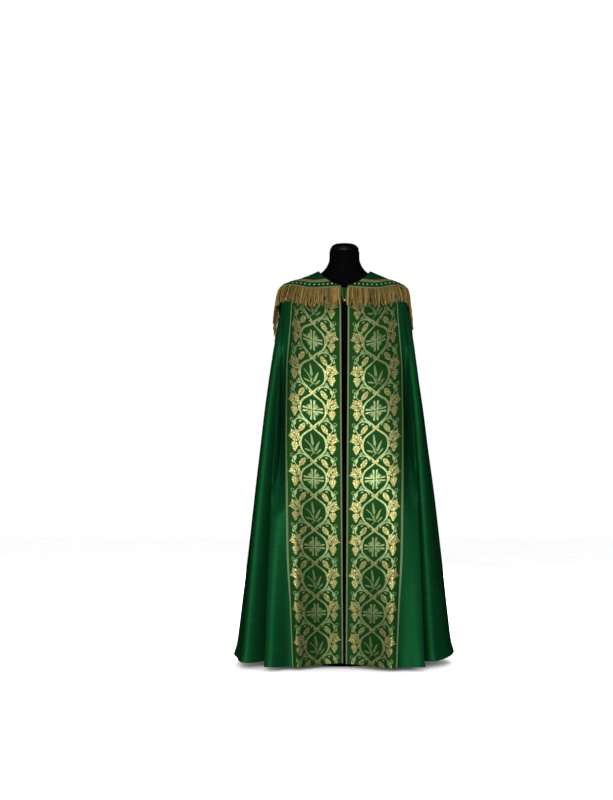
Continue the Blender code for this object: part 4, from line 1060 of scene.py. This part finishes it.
# The recipe of each finish. A braid's is followed by its colour and the factor that it is taken times,
# the pitch of its plies in metres, their lean and the factor of the painted shade in their seams.
FINISHES = {
    "woven_green_satin": (satin_finish,),
    "woven_gilt_brocade": (brocade_finish,),
    "woven_gold_galloon": (galloon_finish,),
    "stitched_green_braid": (dotted_finish,),
    "twisted_pale_braid": (braid_finish, "braid", 1.0, BRAID_PITCH, FULL_TURN, 0.18),
    "twisted_green_braid": (braid_finish, "#55714A", 1.0, BRAID_PITCH, FULL_TURN, 0.20),
    "twisted_header_cord": (braid_finish, "#666C47", 1.0, HEADER_PITCH, FULL_TURN, 0.35),
    "twisted_tab_cord": (braid_finish, "braid", 1.0, 0.0040, FULL_TURN, 0.35),
    "stitched_gold_cord": (braid_finish, "bullion", 2.0, 0.0028, 6.00, 0.35),
    "twisted_gold_bullion": (bullion_finish,),
    "knitted_black_jersey": (jersey_finish,),
    "moulded_black_cap": (cap_finish,),
    "powder_coated_steel": (stand_finish,),
    "drawn_nickel_wire": (nickel_finish,),
    "frosted_white_acrylic": (acrylic_finish,),
}


def finish(name):
    """The finish of that name, made once. Its recipe gives the colour, the relief (its height as an
    output, its depth in metres and its strength) and the other sockets of the shader."""
    if name in bpy.data.materials:
        return bpy.data.materials[name]
    recipe, *details = FINISHES[name]
    material = bpy.data.materials.new(name)
    material.use_nodes = True
    tree = material.node_tree
    colour, relief, sockets = recipe(tree, *details)
    sockets = {**sockets, "Base Color": colour}
    if relief:
        sockets["Normal"] = add(tree, "Bump", dict(zip(("Height", "Distance", "Strength"), relief)))
    fill(tree, tree.nodes["Principled BSDF"], sockets.items())
    return material


# ---------------------------------------------------------------- pieces


def cope_shell():
    """The cope's one wide sheet: the hanging shape with its folds, as a thin closed wall."""
    columns = np.concatenate([side_columns(-1), [0.0], side_columns(1)[::-1]])
    count = sizes().cloth_columns // 2 * 2 + 1
    across = np.interp(np.linspace(0, len(columns) - 1, count), np.arange(len(columns)), columns)
    down = np.linspace(0, CLOTH_DOWN, CLOTH_ROWS)[:, None]
    points = cloth(across[None, :], down)
    uv = pairs(lengths_along(points[MEASURED_ROW]), -down)
    return cloth_wall("cope_cloth", "cope_body", "green_satin", "woven_green_satin",
                      points, grid_normals(points), SATIN, cloth=uv)


def band_grid(side, first, last, columns, rows):
    """The cope's own points between two shares of a band's width, counted from the front edge, with
    their normals, those shares, and the length of cloth above the hem. The band is drawn wider at the
    heights where its table of widths says so."""
    share = np.linspace(first, last, columns)[::-side]
    down = np.linspace(RING_DOWNS[BAND_TOP_RING], CLOTH_DOWN, rows)
    length = lengths_along(cloth(np.full(rows, side * (1 - BAND_SHARE / 2)), down))
    above_hem = (length[-1] - length)[:, None]
    widths = smooth_curve(BAND_WIDTH_HEIGHTS, BAND_WIDTHS, above_hem)
    points = cloth(side * (1 - share[None, :] * BAND_SHARE * widths), down[:, None])
    return points, grid_normals(points), share[None, :], above_hem


def orphrey(side, word):
    """One brocade band, laid on the cope's own points, with its woven figures as values per point."""
    points, normals, share, above_hem = band_grid(side, 0.0, 1.0, BAND_COLUMNS_DRAWN, BAND_ROWS)
    cells = CELL_COUNTS[0] + CELL_COUNTS[1] * above_hem + CELL_COUNTS[2] * above_hem ** 2
    u, v = np.broadcast_arrays((share - 0.5) * 2 * BAND_HALF * side, cells * CELL)
    gold, wheat, rose = brocade_figures(u, v)
    return cloth_wall(f"brocade_band_{word}", f"orphrey_{word}", "gold_brocade", "woven_gilt_brocade",
                      points + normals * (BAND_GAP + BROCADE), normals, BROCADE,
                      cloth=pairs(u / 1000, v / 1000), gold=gold, wheat=wheat, rose=rose)


def band_braid(side, word, place, finish_name, first, last):
    """One domed braid along a band's edge: a strip of the band, lifted by a half circle across it and
    by small slanting plies along it."""
    points, normals, share, above_hem = band_grid(side, first, last, BRAID_COLUMNS, BRAID_ROWS)
    across = (share - first) / (last - first)
    dome = dome_across(across)
    plaited = np.cos(2 * math.pi * (above_hem / BRAID_PITCH + np.abs(across - 0.5)))
    lift = BAND_GAP + BROCADE + BRAID_GAP + BRAID * (0.45 + 0.55 * dome) + BRAID_PLY * plaited * dome
    return cloth_wall(f"{place}_twist_{word}", f"{place}_braid_{word}", "gold_braid", finish_name,
                      points + normals * lift[..., None], normals, BRAID * 0.5,
                      cloth=pairs(across, above_hem))


def hood_columns(count):
    """The across values of the hood's columns, evenly spaced along its edge, left to right."""
    half = spread_line(EDGE_ACROSS, EDGE_DOWN, (count + 1) // 2)[0]
    return np.concatenate([-half, half[-2::-1]])


def down_at(columns, width):
    """How far down each column lies a line that keeps the given distance inside the hood's edge."""
    across, down = moved_edge(width)
    return np.interp(np.abs(columns), across[::-1], down[::-1])


def hood_shell():
    """The hood: the smooth shape from the neckline to the pointed edge, lifted clear of the cope."""
    columns = hood_columns(HOOD_COLUMNS)
    share = np.linspace(0, 1, HOOD_ROWS)[:, None]
    down = HOOD_NECK_START + (down_at(columns, 0.0) - HOOD_NECK_START) * share
    across = np.broadcast_to(columns, down.shape)
    points = lifted(across, down, hood_lift(across, down) + HOOD_CLOTH)
    return cloth_wall("hood_cloth", "hood", "green_satin", "woven_green_satin", points, grid_normals(points),
                      HOOD_CLOTH, cloth=pairs(lengths_along(points[-1]), -down))


def dome_across(place):
    """A half circle over a strip: 0 at its two edges (0 and 1) and 1 in the middle."""
    return np.sqrt(np.clip(1 - (2 * place - 1) ** 2, 0, 1))


def dot_inside(place, length):
    """Millimetres inside the nearest dot of a row of dots along the middle of the braid."""
    along = (np.mod(length / DOT_PITCH + 0.5, 1.0) - 0.5) * DOT_PITCH * 1000
    beside = (place - 0.5) * DOTTED_WIDTH * 1000
    return DOT_RADIUS - np.hypot(along, beside)


def dotted_relief(place, length):
    """A flat braid with low domes at its dots and a thin raised edge."""
    dome = np.sqrt(np.clip(dot_inside(place, length) / DOT_RADIUS, 0, 1))
    edge = smooth_step(0.42, 0.48, np.abs(place - 0.5))
    return TRIM * 0.75 + DOT_HEIGHT * dome + DOTTED_EDGE_HEIGHT * edge


def galloon_relief(place, length):
    """Two low domes side by side, with fine ribs across."""
    field = np.abs(np.sin(2 * math.pi * place))
    rib = np.cos(2 * math.pi * length / GALLOON_RIB)
    return TRIM * 0.75 + GALLOON_DOME * field + GALLOON_RIB_HEIGHT * rib


def header_relief(place, length):
    """One dome, with slanting plies along it."""
    plaited = np.cos(2 * math.pi * (length / HEADER_PITCH + place))
    return TRIM * 0.5 + (HEADER_DOME + HEADER_PLY * plaited) * dome_across(place)


# The hood's trims, from its edge inwards.
# Columns: name, CAD node, slot, finish, width, points across, and height from the place across (0 to 1)
# and the length along.
HOOD_TRIMS = (
    ("header_twist", "hood_header_cord", "gold_braid", "twisted_header_cord", HEADER_WIDTH, 7, header_relief),
    ("dotted_band", "hood_dotted_braid", "dotted_braid", "stitched_green_braid", DOTTED_WIDTH, 15,
     dotted_relief),
    ("gold_galloon", "hood_galloon", "gold_braid", "woven_gold_galloon", GALLOON_WIDTH, 9, galloon_relief),
)


def hood_trims():
    """Strips along the hood's edge, each a spacing further in than the last, and cut off at the neck."""
    made, start = [], 0.0
    for name, node, slot, finish_name, width, rows, relief in HOOD_TRIMS:
        columns = hood_columns(TRIM_COLUMNS)
        outer, inner = down_at(columns, start), down_at(columns, start + width)
        top = np.maximum(inner, HOOD_NECK_START)
        wide = np.flatnonzero(outer - top > TRIM_LEAST_WIDTH)
        last = wide[-1] - (wide[-1] - wide[0]) % 2
        columns, outer, inner, top = (line[wide[0]:last + 1] for line in (columns, outer, inner, top))
        down = top + (outer - top) * np.linspace(0, 1, rows)[:, None]
        across = np.broadcast_to(columns, down.shape)
        place = (down - inner) / (outer - inner)
        base = lifted(across, down, hood_lift(across, down) + HOOD_CLOTH + TRIM_GAP)
        normals = grid_normals(base)
        length = lengths_along(base[-1])
        length = np.broadcast_to(length - length[len(length) // 2], down.shape)
        layers = {"dot": dot_inside(place, length)} if relief is dotted_relief else {}
        points = base + normals * relief(place, length)[..., None]
        made.append(cloth_wall(name, node, slot, finish_name, points, normals, TRIM * 0.7,
                               cloth=pairs(place, length), **layers))
        start = start + width + TRIM_SPACING
    return made


def strand_line(gap, first):
    """Every second place of a line that far outside the hood's edge, on the left and then the right."""
    line = spread_line(*(np.clip(item, 0, 9) for item in moved_edge(-gap)), 2 * sizes().strands + 1)
    across, down = (item[first::2] for item in line)
    return np.concatenate([-across, across[::-1]]), np.concatenate([down, down[::-1]])


def strand_layer(random, first, share_of_length, lift, middle_tint_and_shade):
    """One layer of hanging strands: their paths, radii and tints, and the length down each. A strand's
    path steps over the smooth shape from its root, straight down or out where the edge runs down, with
    a slow wave of its own. Its radius swells, waves and ends in a rounded tip."""
    across, down = strand_line(STRIP_GAP * 0.6, first)
    count = len(across)
    root = on_shape(across, down)
    outward = unit(on_shape(*strand_line(STRIP_GAP + 0.004, first)) - root)
    along = unit(np.cross(normal_on_shape(across, down), outward))
    fall = np.array([0.0, 0.0, -1.0]) + STRAND_SPREAD * outward
    out_part = np.maximum(np.sum(fall * outward, -1), STRAND_LEAST_OUT)
    side_part = np.sum(fall * along, -1) + random.normal(0, STRAND_SCATTER, count)
    way = unit(outward * out_part[:, None] + along * side_part[:, None])
    length = sizes().fringe_length
    scatter = random.standard_normal(count).clip(-1.6, 1.4)
    own = length * (1 + STRAND_SCATTER * scatter) * share_of_length
    phase, swing = random.uniform(0, 2 * math.pi, count), random.normal(0, STRAND_SWING, count)
    shares = np.linspace(0, 1, STRAND_RINGS)
    place, path = (across, down), []
    for share in shares:
        sway = swing * np.sin(phase + 7 * share) * share
        low = lift + STRAND_WAVE * np.sin(phase + 4 * share) * share
        height = hood_lift(*place) + low + STRAND_ROOT_HEIGHT * (1 - share) ** 2
        path.append(lifted(*place, height) + along * sway[:, None])
        place = move_on_shape(*place, way * (own / (STRAND_RINGS - 1))[:, None])
    radius = 0.82 + 0.22 * np.sin(math.pi * shares) + 0.10 * np.sin(phase[:, None] + 19 * shares)
    radius = STRAND_RADIUS * radius * np.sqrt(np.clip((1 - shares) / STRAND_TIP, 0.10, 1))
    # The tints scatter at random round the layer's middle, which also holds the layer's painted shade.
    tint = np.clip(middle_tint_and_shade + TINT_SCATTER * random.standard_normal(count), 0, 1)
    tints, reaches = np.broadcast_arrays(tint[:, None], shares * length)
    return np.stack(path, axis=1), pairs(radius * STRAND_WIDE, radius * STRAND_HIGH), tints, reaches


def bullion_fringe():
    """Two layers of hanging strands along the hood's edge, each strand a tube."""
    random = np.random.default_rng(11)
    layers = [strand_layer(random, *row) for row in STRAND_LAYERS]
    paths, radii, tints, reaches = (np.concatenate(values) for values in zip(*layers))
    ups = unit(np.array([0.0, -0.2, 1.0]) + unit(paths * (1, 1, 0)))
    turn = np.abs(np.arange(STRAND_SIDES) / STRAND_SIDES * 2 - 1)
    return round_piece("bullion_fringe", "hood_fringe", "bullion_fringe", "twisted_gold_bullion",
                       paths, ups, radii, turn, reaches, tint=tints)


def find_on_hood(x, z):
    """The across and down of places on the hood's back with the given x and z, found by eight Newton
    steps on the smooth shape."""
    # A first guess: the hood's back is nearly flat there.
    across, down = x * 2.2, np.clip((1.50 - z) * 1.05, 0.01, 0.5)
    for _ in range(8):
        here = on_shape(across, down)
        round_way, down_way = ways_on_shape(across, down)
        a, b, c, d = round_way[..., 0], down_way[..., 0], round_way[..., 2], down_way[..., 2]
        miss_x, miss_z = x - here[..., 0], z - here[..., 2]
        scale = a * d - b * c
        across = across + (d * miss_x - b * miss_z) / scale
        down = down + (a * miss_z - c * miss_x) / scale
    return across, down


def turned(points, angle):
    """Points in a plane, turned about its middle. Angle is in radians."""
    c, s = math.cos(angle), math.sin(angle)
    return points @ np.array([[c, s], [-s, c]])


def leaf_outline(base, angle, length, width):
    """A pointed leaf's outline: two bowed sides that meet at its base and its tip."""
    share = np.linspace(0, 1, 9)
    side = np.stack([share * length, width / 2 * np.sin(math.pi * share) ** 0.8], 1)
    return turned(np.concatenate([side, side[-2::-1] * (1, -1)]), angle) + base


def emblem_lines():
    """The hood's emblem as drawn lines, in millimetres from its middle: a cross with widening arms and
    a small ring, four small leaves, and a four-lobed frame of two cords with three leaves at each of
    its inward corners."""
    quarter = []
    for radius in LOBE_RADII:
        reach = math.degrees(math.acos(-LOBE_CENTRE / (radius * math.sqrt(2))) - math.pi / 4)
        quarter.append(arc_points((LOBE_CENTRE, 0), radius, -reach, reach, 33))
    for outline in ARM_LINES:
        quarter += [np.array(outline) * (1.0, flip) for flip in (1, -1)]
    quarter.append(leaf_outline((48, 0), 0.0, 22, 9))
    diagonal = math.pi / 4
    corner = turned(np.array([1.0, 0.0]), diagonal)
    for lean, length in CORNER_LEAVES:
        way = turned(np.array([1.0, 0.0]), diagonal + lean)
        quarter.append(leaf_outline(corner * CORNER_REACH, diagonal + lean, length, 9.5))
        quarter.append(corner * CORNER_REACH + np.outer((5, length * 0.75), way))
    quarter.append(leaf_outline(corner * SMALL_LEAF_REACH, diagonal, 20, 8))
    lines = [turned(line, k * math.pi / 2) for k in range(4) for line in quarter]
    return lines + [arc_points((0, 0), radius, 0, 360, 33) for radius in RING_RADII]


def hood_emblem():
    """Stitched cords on the back of the hood: each drawn line is laid on the hood's outer face in
    stretches of 30 mm, and a small ellipse is swept along each."""
    radius = sizes().thread
    paths = []
    for line in emblem_lines():
        knots = lengths_along(line)
        for start in np.arange(0, max(knots[-1] - 1.0, 1.0), STRETCH):
            at = np.linspace(start, min(start + STRETCH + STRETCH_OVERLAP, knots[-1]), EMBLEM_RINGS)
            paths.append(np.stack([np.interp(at, knots, line[:, k]) for k in range(2)], axis=1))
    flat = np.array(paths) / 1000
    across, down = find_on_hood(flat[..., 0], EMBLEM_Z + flat[..., 1])
    points = lifted(across, down, hood_lift(across, down) + HOOD_CLOTH + radius * 0.45)
    radii = np.broadcast_to([radius * 1.15, radius * 0.8], (*points.shape[:2], 2))
    length = np.cumsum(np.linalg.norm(np.diff(points, axis=1, prepend=points[:, :1]), axis=-1), axis=1)
    turn = np.arange(EMBLEM_SIDES) / EMBLEM_SIDES
    return round_piece("hood_emblem", None, "gold_braid", "stitched_gold_cord", points,
                       normal_on_shape(across, down), radii, turn, length)


def closing_pieces():
    """The closing tab, a narrow satin V behind the front edges, with a twisted cord down each side."""
    drop = np.linspace(0, 1, TAB_ROWS)
    z = TAB_TOP_Z - TAB_LENGTH * drop
    edge = on_shape(1.0, np.linspace(0, 0.25, 200))
    face_y = np.interp(-z, -edge[:, 2], edge[:, 1]) + SATIN + TAB_SEAM_GAP
    half = TAB_TOP_HALF + (TAB_POINT_HALF - TAB_TOP_HALF) * drop[:, None]
    x = half * np.linspace(1, -1, TAB_COLUMNS)[None, :]
    points = np.stack(np.broadcast_arrays(x, face_y[:, None], z[:, None]), -1)
    tab = cloth_wall("tab_cloth", "closing_tab", "green_satin", "woven_green_satin", points,
                     grid_normals(points), TAB_CLOTH, cloth=pairs(x, z[:, None]))
    cord_x = TAB_EDGING_TOP_HALF + (TAB_POINT_HALF - TAB_EDGING_TOP_HALF) * drop - TAB_EDGING_INSET
    turn = np.arange(TAB_CORD_SIDES) / TAB_CORD_SIDES
    cords = []
    for side, word in SIDES:
        path = np.stack([side * cord_x, face_y - TAB_SEAM_GAP - TAB_EDGING_RADIUS, z], -1)[None]
        cords.append(round_piece(f"tab_cord_{word}", f"closing_cord_{word}", "gold_braid", "twisted_tab_cord",
                                 path, np.broadcast_to([0.0, -1.0, 0.0], path.shape),
                                 np.full((1, TAB_ROWS, 2), TAB_EDGING_RADIUS), turn, -z[None]))
    return tab, cords


def paint_node(name, finish_name):
    """Gives a CAD node that stays in view its finish."""
    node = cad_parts[name]
    node.data.materials.clear()
    node.data.materials.append(finish(finish_name))
    node.data.shade_smooth()


# ---------------------------------------------------------------- stage


def placed(name, data, location, turn=(0.0, 0.0, 0.0)):
    """An object of the scene with that data, place and turn."""
    item = bpy.data.objects.new(name, data)
    item.location, item.rotation_euler = location, turn
    bpy.context.scene.collection.objects.link(item)
    return item


def floor():
    """A wide floor just under the object. The cloth's sheen shows the lamps and not the floor, as with
    black flags round a set."""
    line = np.linspace(-FLOOR_HALF, FLOOR_HALF, FLOOR_POINTS)
    points = np.stack(np.broadcast_arrays(line[None, :], line[:, None], -FLOOR_GAP), -1)
    mesh = bpy.data.meshes.new("floor")
    mesh.from_pydata(points.reshape(-1, 3), [], quads(np.arange(FLOOR_POINTS ** 2).reshape(points.shape[:2])))
    mesh.materials.append(finish("frosted_white_acrylic"))
    sheet = placed("floor", mesh, (0.0, 0.0, 0.0))
    sheet.visible_glossy = False


def camera_and_lights():
    """A level camera in front, three soft square lights and a white room that the gloss doesn't show."""
    scene = bpy.context.scene
    settings = scene.cope_stage
    data = bpy.data.cameras.new("camera")
    data.lens, data.sensor_width, data.sensor_fit = CAMERA_LENS, CAMERA_SENSOR, "AUTO"
    data.shift_x, data.shift_y = settings.shift_x, settings.shift_y
    scene.camera = placed("camera", data, (0.0, -settings.distance, settings.height), (math.pi / 2, 0.0, 0.0))
    for name, place, aim_z, size in LIGHTS:
        data = bpy.data.lights.new(f"{name}_light", "AREA")
        data.shape, data.size, data.energy = "SQUARE", size, getattr(settings, f"{name}_power")
        aim = Vector((0.0, 0.0, aim_z)) - Vector(place)
        lamp = placed(f"{name}_light", data, place, aim.to_track_quat("-Z", "Y").to_euler())
        if name == "rear":
            lamp.visible_camera = False
    world = bpy.data.worlds.new("room")
    world.use_nodes = True
    fill(world.node_tree, world.node_tree.nodes["Background"],
         (("Color", (1.0, 1.0, 1.0, 1.0)), ("Strength", settings.sky)))
    scene.world = world
    world.cycles_visibility.glossy = False
    scene.view_settings.view_transform = "Standard"


# ---------------------------------------------------------------- operators


class CopeOperator:
    """What every operator here shares: it is listed, and it can be undone."""
    bl_options = {"REGISTER", "UNDO"}


class COPE_OT_cloth(CopeOperator, bpy.types.Operator):
    """Hangs the cope's one wide sheet of satin"""
    bl_idname = "cope.cloth"
    bl_label = "Cope cloth"

    def execute(self, context):
        cope_shell()
        return {"FINISHED"}


class COPE_OT_bands(CopeOperator, bpy.types.Operator):
    """Lays the two brocade bands along the front edges, with a braid down each of their sides"""
    bl_idname = "cope.bands"
    bl_label = "Brocade bands"

    def execute(self, context):
        width = context.scene.cope_sizes.braid_width / BAND_WIDTH
        for side, word in SIDES:
            band = orphrey(side, word)
            braids = [band_braid(side, word, "inner", "twisted_pale_braid", 0.0, width * 0.7),
                      band_braid(side, word, "outer", "twisted_green_braid", 1 - width * 0.8, 1.0)]
        return {"FINISHED"}


class COPE_OT_hood(CopeOperator, bpy.types.Operator):
    """Hangs the hood, with its header cord, dotted braid, galloon, fringe and stitched emblem"""
    bl_idname = "cope.hood"
    bl_label = "Hood and fringe"

    def execute(self, context):
        shell = hood_shell()
        trims = [*hood_trims(), bullion_fringe(), hood_emblem()]
        return {"FINISHED"}


class COPE_OT_closing(CopeOperator, bpy.types.Operator):
    """Sets the closing tab with its two corded edges, and finishes the ring that closes it"""
    bl_idname = "cope.closing"
    bl_label = "Closing tab and ring"

    def execute(self, context):
        tab, cords = closing_pieces()
        paint_node("closing_ring", "drawn_nickel_wire")
        return {"FINISHED"}


class COPE_OT_form(CopeOperator, bpy.types.Operator):
    """Finishes the dress form's cover, cap, pole and foot"""
    bl_idname = "cope.form"
    bl_label = "Dress form"

    def execute(self, context):
        paint_node("form_torso", "knitted_black_jersey")
        paint_node("form_neck_cap", "moulded_black_cap")
        for name in ("form_pole", "form_foot"):
            paint_node(name, "powder_coated_steel")
        return {"FINISHED"}


class COPE_OT_stage(CopeOperator, bpy.types.Operator):
    """Sets the pale floor, the soft lights and the camera"""
    bl_idname = "cope.stage"
    bl_label = "Stage"

    def execute(self, context):
        floor()
        camera_and_lights()
        return {"FINISHED"}


OPERATORS = (COPE_OT_cloth, COPE_OT_bands, COPE_OT_hood, COPE_OT_closing, COPE_OT_form, COPE_OT_stage)


class COPE_PT_panel(bpy.types.Panel):
    """The cope's settings, and one button for each group of pieces"""
    bl_label = "Cope"
    bl_idname = "COPE_PT_panel"
    bl_space_type = "VIEW_3D"
    bl_region_type = "UI"
    bl_category = "Cope"

    def draw(self, context):
        for group in GROUPS:
            settings = getattr(context.scene, group)
            box = self.layout.box()
            for name in settings.bl_rna.properties.keys():
                if name not in ("rna_type", "name"):
                    box.prop(settings, name)
        for operator in OPERATORS:
            self.layout.operator(operator.bl_idname)


GROUPS = {"cope_sizes": CopeSizes, "cope_colours": CopeColours, "cope_stage": StageSettings}
CLASSES = (*GROUPS.values(), *OPERATORS, COPE_PT_panel)


def register():
    """Registers the classes, and hangs the settings on the scene."""
    for item in CLASSES:
        bpy.utils.register_class(item)
    for name, group in GROUPS.items():
        setattr(bpy.types.Scene, name, bpy.props.PointerProperty(type=group))


def unregister():
    """Takes away what register added."""
    for name in GROUPS:
        delattr(bpy.types.Scene, name)
    for item in reversed(CLASSES):
        bpy.utils.unregister_class(item)


def main():
    """Builds every piece."""
    register()
    for operator in (bpy.ops.cope.cloth, bpy.ops.cope.bands, bpy.ops.cope.hood, bpy.ops.cope.closing,
                     bpy.ops.cope.form, bpy.ops.cope.stage):
        operator()


if __name__ == "__main__":
    main()
